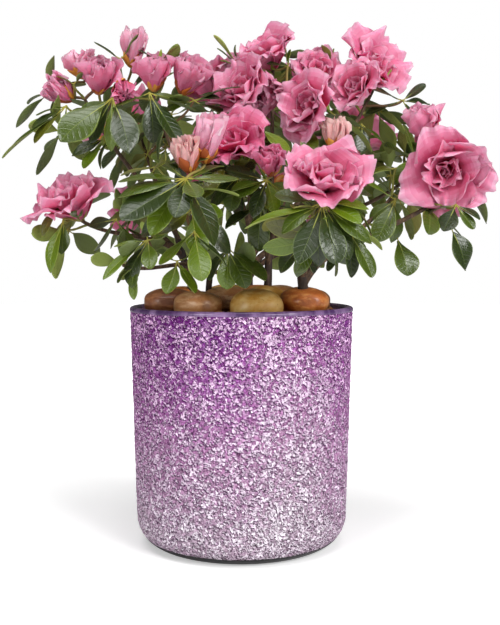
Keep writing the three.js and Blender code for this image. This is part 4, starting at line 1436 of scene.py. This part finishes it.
def petal_grid(length, ring, bearing, ruffle, random):
    """Points of one petal in its flower's own frame, whose axis is +Z. With them come their places
    on the petal, t from its root to its margin and s across it from -1 to 1."""
    rows, columns = next(net for shortest, net in PETAL_NETS if length > shortest)
    ripples = 0.62 * columns
    t = np.linspace(0, 1, rows)[:, None]
    s = np.linspace(-1, 1, columns)[None, :]
    phases = random.uniform(0, FULL_TURN, 6)
    uneven = 1 + 0.035 * np.sin(4 * s + phases[0]) + 0.022 * np.sin(0.8 * ripples * s + phases[1])
    reach = t * (1 - 0.38 * np.abs(s) ** 3 * t ** 2) * lerp(1, uneven, t ** 3)
    # the petal's line from its root outward, a little longer than the petal
    fine = np.linspace(0, 1.15, 60)
    bend = fine ** 1.15 / (fine ** 1.15).max()
    lean = np.radians(lerp(ring.root_lean, ring.tip_lean + random.normal(0, 11), bend * 1.06))
    rise, spread = walk(length * (fine[1] - fine[0]), lean)
    radius = np.interp(reach, fine, PETAL_FOOT + spread)
    height = np.interp(reach, fine, rise)
    leaning = np.interp(reach, fine, lean)
    half = ring.width * length * (0.24 + 0.76 * np.sin(0.7 * math.pi * t ** 0.95))
    half = half * (1 - np.clip(-ring.tip_lean / 60, 0, 0.55) * t ** 2)
    aside = half * np.sin(ring.roll * s) / ring.roll
    edge = np.maximum(np.abs(s) ** 2 * t, t ** 2.2)
    frill = ring.frill * ruffle * (1 - 0.4 * s ** 4 * t ** 4)
    # how far each point stands in toward the flower's axis from that line
    push = (WAVE * length * frill * t ** 1.6 * np.sin(2.8 * s + phases[2])
            + RUFFLE * length * frill * edge ** 1.5 * np.sin(6.5 * s + 3 * t + phases[3])
            + FRILL * length * frill * edge ** 3 * np.sin(ripples * s + 4 * t + phases[4])
            + SIDE_RUFFLE * length * frill * np.sign(s) * np.abs(s) ** 3 * np.sin(9 * t + phases[5]) * t
            + FOLD * length * ring.folds * t ** 0.6 * np.sin(8.5 * s + 0.8 * np.sin(5 * t) + phases[1])
            + LAP * (1 + 2 * ring.roll) * length * s * t ** 0.7
            + CREASE * length * t * np.abs(s) * np.exp(-4 * s ** 2)
            + CUP * length * s ** 2 * t * random.uniform(-1, 1.4)
            + half * (1 - np.cos(ring.roll * s)) / ring.roll)
    radius = radius - push * np.cos(leaning)
    height = height + push * np.sin(leaning)
    return np.stack((*spun(radius, aside, bearing), height), axis=2), t, s


def petal_tones(t, s, ring, random):
    """The tone of each of a petal's faces, from the throat out to the margin."""
    middle_t = (t[1:] + t[:-1]) / 2
    middle_s = (s[:, 1:] + s[:, :-1]) / 2
    rate = 0.5 + 0.6 * ring.roll
    level = ring.tone + (TONES - 3.5 - ring.tone) * middle_t ** rate + 2.0 * np.abs(middle_s) ** 3 * middle_t
    level = level + 1.6 * np.clip((middle_t - 0.82) / 0.18, 0, 1)
    level = level - 1.8 * np.exp(-(middle_s / 0.2) ** 2) * (1 - middle_t)
    return level + random.normal(0, 0.2, middle_s.shape)


def whole_tones(level):
    """Levels as the numbers of the nearest tones."""
    return np.clip(np.round(level), 0, TONES - 1).astype(int)


def flower_frame(axis, hint):
    """Rows that turn a flower's own frame toward its axis."""
    side = across(axis, np.array(hint))
    return np.stack((side, np.cross(axis, side), axis))


def add_flower(bundle, flower, options, random):
    """One flower: rings of petals from the outermost to the heart."""
    axis = heading(*flower.axis)
    turn = flower_frame(axis, (0.2, -0.3, 0.9) if abs(axis[2]) < 0.9 else (0.0, -1.0, 0.2))
    first = TONES * list(PETAL_TINTS).index(flower.tint)
    start = random.uniform(0, FULL_TURN)
    for number, ring in enumerate(FLOWER_RINGS[flower.kind]):
        for petal in range(ring.count):
            bearing = start + FULL_TURN * (petal + 0.5 * number) / ring.count + random.normal(0, PETAL_SWING)
            length = ring.length * flower.size * MM * random.uniform(*PETAL_LENGTHS)
            grid, t, s = petal_grid(length, ring, bearing, options.ruffle, random)
            level = petal_tones(t, s, ring, random)
            over = first + whole_tones(level)[:, ::-1]
            under = first + whole_tones(level * 0.5 + 0.37 * TONES)
            bundle.shell((flower_root(flower) + grid @ turn)[:, ::-1], options.thickness, over, under)


def build_blossom(options):
    """All flowers and buds, joined into pieces that each stay light."""
    random = np.random.default_rng(SEED + 5)
    materials = petal_materials()
    bundles = {"blossom_front": Bundle(), "blossom_back": Bundle(), "flower_buds": Bundle()}
    groups = {name: set() for name in bundles}
    for flower in HAND_SET_FLOWERS:
        name = "blossom_back" if flower_middle(flower)[1] > FRONT_LIMIT else "blossom_front"
        name = name if flower.kind in OPEN_KINDS else "flower_buds"
        add_flower(bundles[name], flower, options, random)
        groups[name].add(CROWN + flower.mass)
    for name, bundle in bundles.items():
        stand_for(bundle.piece(name, materials, PETAL_CREASE), sorted(groups[name]))


SCALE_COLOURS = ("#c2611a", "#96440e", "#cf8a35", "#869030")  # three papery browns, then a sepal's green
SEPAL = 3
SEPAL_LENGTH = 7  # millimetres
SCALE_LENGTHS = (7, 13)
SCALES_ROUND_BUD = 9
SEPALS_ROUND_FLOWER = 5


def build_bud_scales(options):
    """Papery brown scales round the foot of each bud, and green sepals under each open flower."""
    random = np.random.default_rng(SEED + 6)
    bundle = Bundle()
    for flower in HAND_SET_FLOWERS:
        bud = flower.kind not in OPEN_KINDS
        axis = heading(*flower.axis)
        root = flower_root(flower) - 0.6 * MM * axis
        turn = flower_frame(axis, (0.3, -0.5, 0.8))
        for scale in range(SCALES_ROUND_BUD if bud else SEPALS_ROUND_FLOWER):
            ring = Ring(count=1, length=1, root_lean=46 if bud else 60, tip_lean=random.uniform(4, 26),
                        width=0.34, roll=0.8, frill=0.3, tone=0)
            length = (random.uniform(*SCALE_LENGTHS) if bud else SEPAL_LENGTH) * MM
            bearing = scale * GOLDEN_ANGLE + random.normal(0, 0.1)
            grid, t, _ = petal_grid(length, ring, bearing, options.ruffle, random)
            rows, columns = grid.shape[:2]
            line = grid[:, columns // 2:columns // 2 + 1]
            pointed = 1 - 0.9 * t ** 2.5
            grid = line + (grid - line) * pointed[..., None]
            finish = np.full((rows - 1, columns - 1), random.integers(SEPAL) if bud else SEPAL)
            bundle.shell(root + (grid @ turn)[:, ::-1], 0.3 * MM, finish, finish)
    materials = []
    for number, code in enumerate(SCALE_COLOURS):
        shader = Shader(f"bud_scale_{number + 1}")
        normal = shader.bump(shader.noise(shader.place(), 1200, 3.0), 0.4, 0.3 * MM)
        materials.append(shader.finish(Base_Color=code, Roughness=0.6, Normal=normal))
    nodes = sorted({CROWN + flower.mass for flower in HAND_SET_FLOWERS})
    stand_for(bundle.piece("bud_scales", materials), nodes)


# ---- Stage ----

CAMERA_AT = (5.4 * MM, -617 * MM, 183.5 * MM)
CAMERA_PITCH = 3.45  # degrees below the horizon
CAMERA_LENS = 55.87
STAGE_RADIUS = 3.0
LIGHT_TARGET = Vector((0.0, 0.0, 0.2))
TOP_POWER = 37.0
LEFT_POWER = 28.0
GLOSS_LEVEL = 0.1  # how bright the white surroundings are in reflections
FILL_LEVEL = 0.13  # and as light on matt surfaces
FLOOR_GLOW = (0.36, 0.36, 0.36)  # close to the object


def add_softbox(name, power, size, at):
    """A large soft light that faces the plant."""
    data = bpy.data.lights.new(name, "AREA")
    data.shape = "RECTANGLE"
    data.size, data.size_y = size
    data.energy = power
    lamp = bpy.data.objects.new(name, data)
    lamp.location = at
    lamp.rotation_euler = (LIGHT_TARGET - Vector(at)).to_track_quat("-Z", "Y").to_euler()
    bpy.context.scene.collection.objects.link(lamp)


def floor_material(colour):
    """Matt white floor that glows a little more with distance, so that it stays pale to its edge."""
    shader = Shader("stage_floor")
    x, y, _ = shader.split(shader.place())
    far = ((x * x + y * y) ** 0.5).spread(0.12, 0.9)
    glow = shader.blend(far, FLOOR_GLOW, (1, 1, 1))
    seen = shader.add("ShaderNodeLightPath").outputs["Is Camera Ray"]
    glow = shader.blend(seen, (0, 0, 0), glow)
    return shader.finish(Base_Color=colour, Roughness=0.9, Specular_IOR_Level=0.1,
                         Emission_Color=glow, Emission_Strength=1.0)


def studio_world():
    """White surroundings, seen in full but dim as light."""
    sky = Shader("studio", bpy.data.worlds.new("studio"), "Background")
    paths = sky.add("ShaderNodeLightPath").outputs
    seen, gloss, fill = (Value(sky, paths[f"Is {kind} Ray"]) for kind in ("Camera", "Glossy", "Diffuse"))
    return sky.finish(Color=(1, 1, 1), Strength=seen + gloss * GLOSS_LEVEL + fill * FILL_LEVEL)


def build_stage(options):
    """The pale floor, the soft studio light and the camera."""
    rim = ring_points(STAGE_RADIUS, 0.0, 96)
    mesh = bpy.data.meshes.new("floor")
    mesh.from_pydata(rim.tolist(), [], [tuple(range(len(rim)))])
    mesh.materials.append(floor_material(options.floor_colour))
    link("floor", mesh)

    scene = bpy.context.scene
    scene.world = studio_world()
    scene.view_settings.view_transform = "Standard"
    add_softbox("key_light", options.key_power, (1.5, 1.5), (1.75, -1.95, 1.5))
    add_softbox("top_light", TOP_POWER, (1.6, 1.6), (-0.2, -0.5, 2.5))
    add_softbox("left_light", LEFT_POWER, (1.0, 1.3), (-1.6, -2.0, 1.0))

    data = bpy.data.cameras.new("camera")
    data.sensor_width = 36
    data.lens = CAMERA_LENS
    data.clip_start = 0.01
    camera = bpy.data.objects.new("camera", data)
    camera.location = CAMERA_AT
    camera.rotation_euler = (math.radians(90 - CAMERA_PITCH), 0, 0)
    scene.collection.objects.link(camera)
    scene.camera = camera


# ---- Operators and panel ----


class AZALEA_OT_stage(bpy.types.Operator):
    """Adds the floor, the lights and the camera"""
    bl_idname = "azalea.stage"
    bl_label = "Stage"

    def execute(self, context):
        build_stage(settings("stage"))
        return {"FINISHED"}


class AZALEA_OT_vase(bpy.types.Operator):
    """Adds the crackle-glass vase"""
    bl_idname = "azalea.vase"
    bl_label = "Vase"

    def execute(self, context):
        build_vase(settings("vase"))
        return {"FINISHED"}


class AZALEA_OT_soil(bpy.types.Operator):
    """Adds the potting soil"""
    bl_idname = "azalea.soil"
    bl_label = "Soil"

    def execute(self, context):
        build_soil()
        return {"FINISHED"}


class AZALEA_OT_stones(bpy.types.Operator):
    """Adds the river stones and small pebbles"""
    bl_idname = "azalea.stones"
    bl_label = "Stones"

    def execute(self, context):
        build_stones(settings("stones"))
        return {"FINISHED"}


class AZALEA_OT_limbs(bpy.types.Operator):
    """Adds the stems and boughs with their bark"""
    bl_idname = "azalea.limbs"
    bl_label = "Stems and boughs"

    def execute(self, context):
        build_limbs(settings("bark"))
        return {"FINISHED"}


class AZALEA_OT_twigs(bpy.types.Operator):
    """Adds the twigs and flower stalks"""
    bl_idname = "azalea.twigs"
    bl_label = "Twigs"

    def execute(self, context):
        build_twigs(settings("bark"))
        return {"FINISHED"}


class AZALEA_OT_leaves(bpy.types.Operator):
    """Adds the leaves"""
    bl_idname = "azalea.leaves"
    bl_label = "Leaves"

    def execute(self, context):
        build_leaves(settings("leaves"))
        return {"FINISHED"}


class AZALEA_OT_blossom(bpy.types.Operator):
    """Adds the flowers and buds"""
    bl_idname = "azalea.blossom"
    bl_label = "Blossom"

    def execute(self, context):
        build_blossom(settings("blossom"))
        return {"FINISHED"}


class AZALEA_OT_bud_scales(bpy.types.Operator):
    """Adds the bud scales and sepals"""
    bl_idname = "azalea.bud_scales"
    bl_label = "Bud scales"

    def execute(self, context):
        build_bud_scales(settings("blossom"))
        return {"FINISHED"}


STEPS = (AZALEA_OT_stage, AZALEA_OT_vase, AZALEA_OT_soil, AZALEA_OT_stones, AZALEA_OT_limbs,
         AZALEA_OT_twigs, AZALEA_OT_leaves, AZALEA_OT_blossom, AZALEA_OT_bud_scales)


class AZALEA_PT_panel(bpy.types.Panel):
    """Lists the steps that build the azalea"""
    bl_idname = "AZALEA_PT_panel"
    bl_label = "Potted azalea"
    bl_space_type = "VIEW_3D"
    bl_region_type = "UI"
    bl_category = "Azalea"

    def draw(self, context):
        for step in STEPS:
            self.layout.operator(step.bl_idname)


SETTINGS = {"vase": VaseSettings, "stones": StoneSettings, "bark": BarkSettings,
            "leaves": LeafSettings, "blossom": BlossomSettings, "stage": StageSettings}
CLASSES = (*SETTINGS.values(), *STEPS, AZALEA_PT_panel)


def register():
    """Makes the settings, the steps and the panel known."""
    for group in CLASSES:
        bpy.utils.register_class(group)
    for name, group in SETTINGS.items():
        setattr(bpy.types.Scene, "azalea_" + name, PointerProperty(type=group))


def unregister():
    """Takes them away again."""
    for name in SETTINGS:
        delattr(bpy.types.Scene, "azalea_" + name)
    for group in reversed(CLASSES):
        bpy.utils.unregister_class(group)


def main():
    """Builds the stage, then every piece."""
    register()
    for step in STEPS:
        group, name = step.bl_idname.split(".")
        getattr(getattr(bpy.ops, group), name)()


if __name__ == "__main__":
    main()
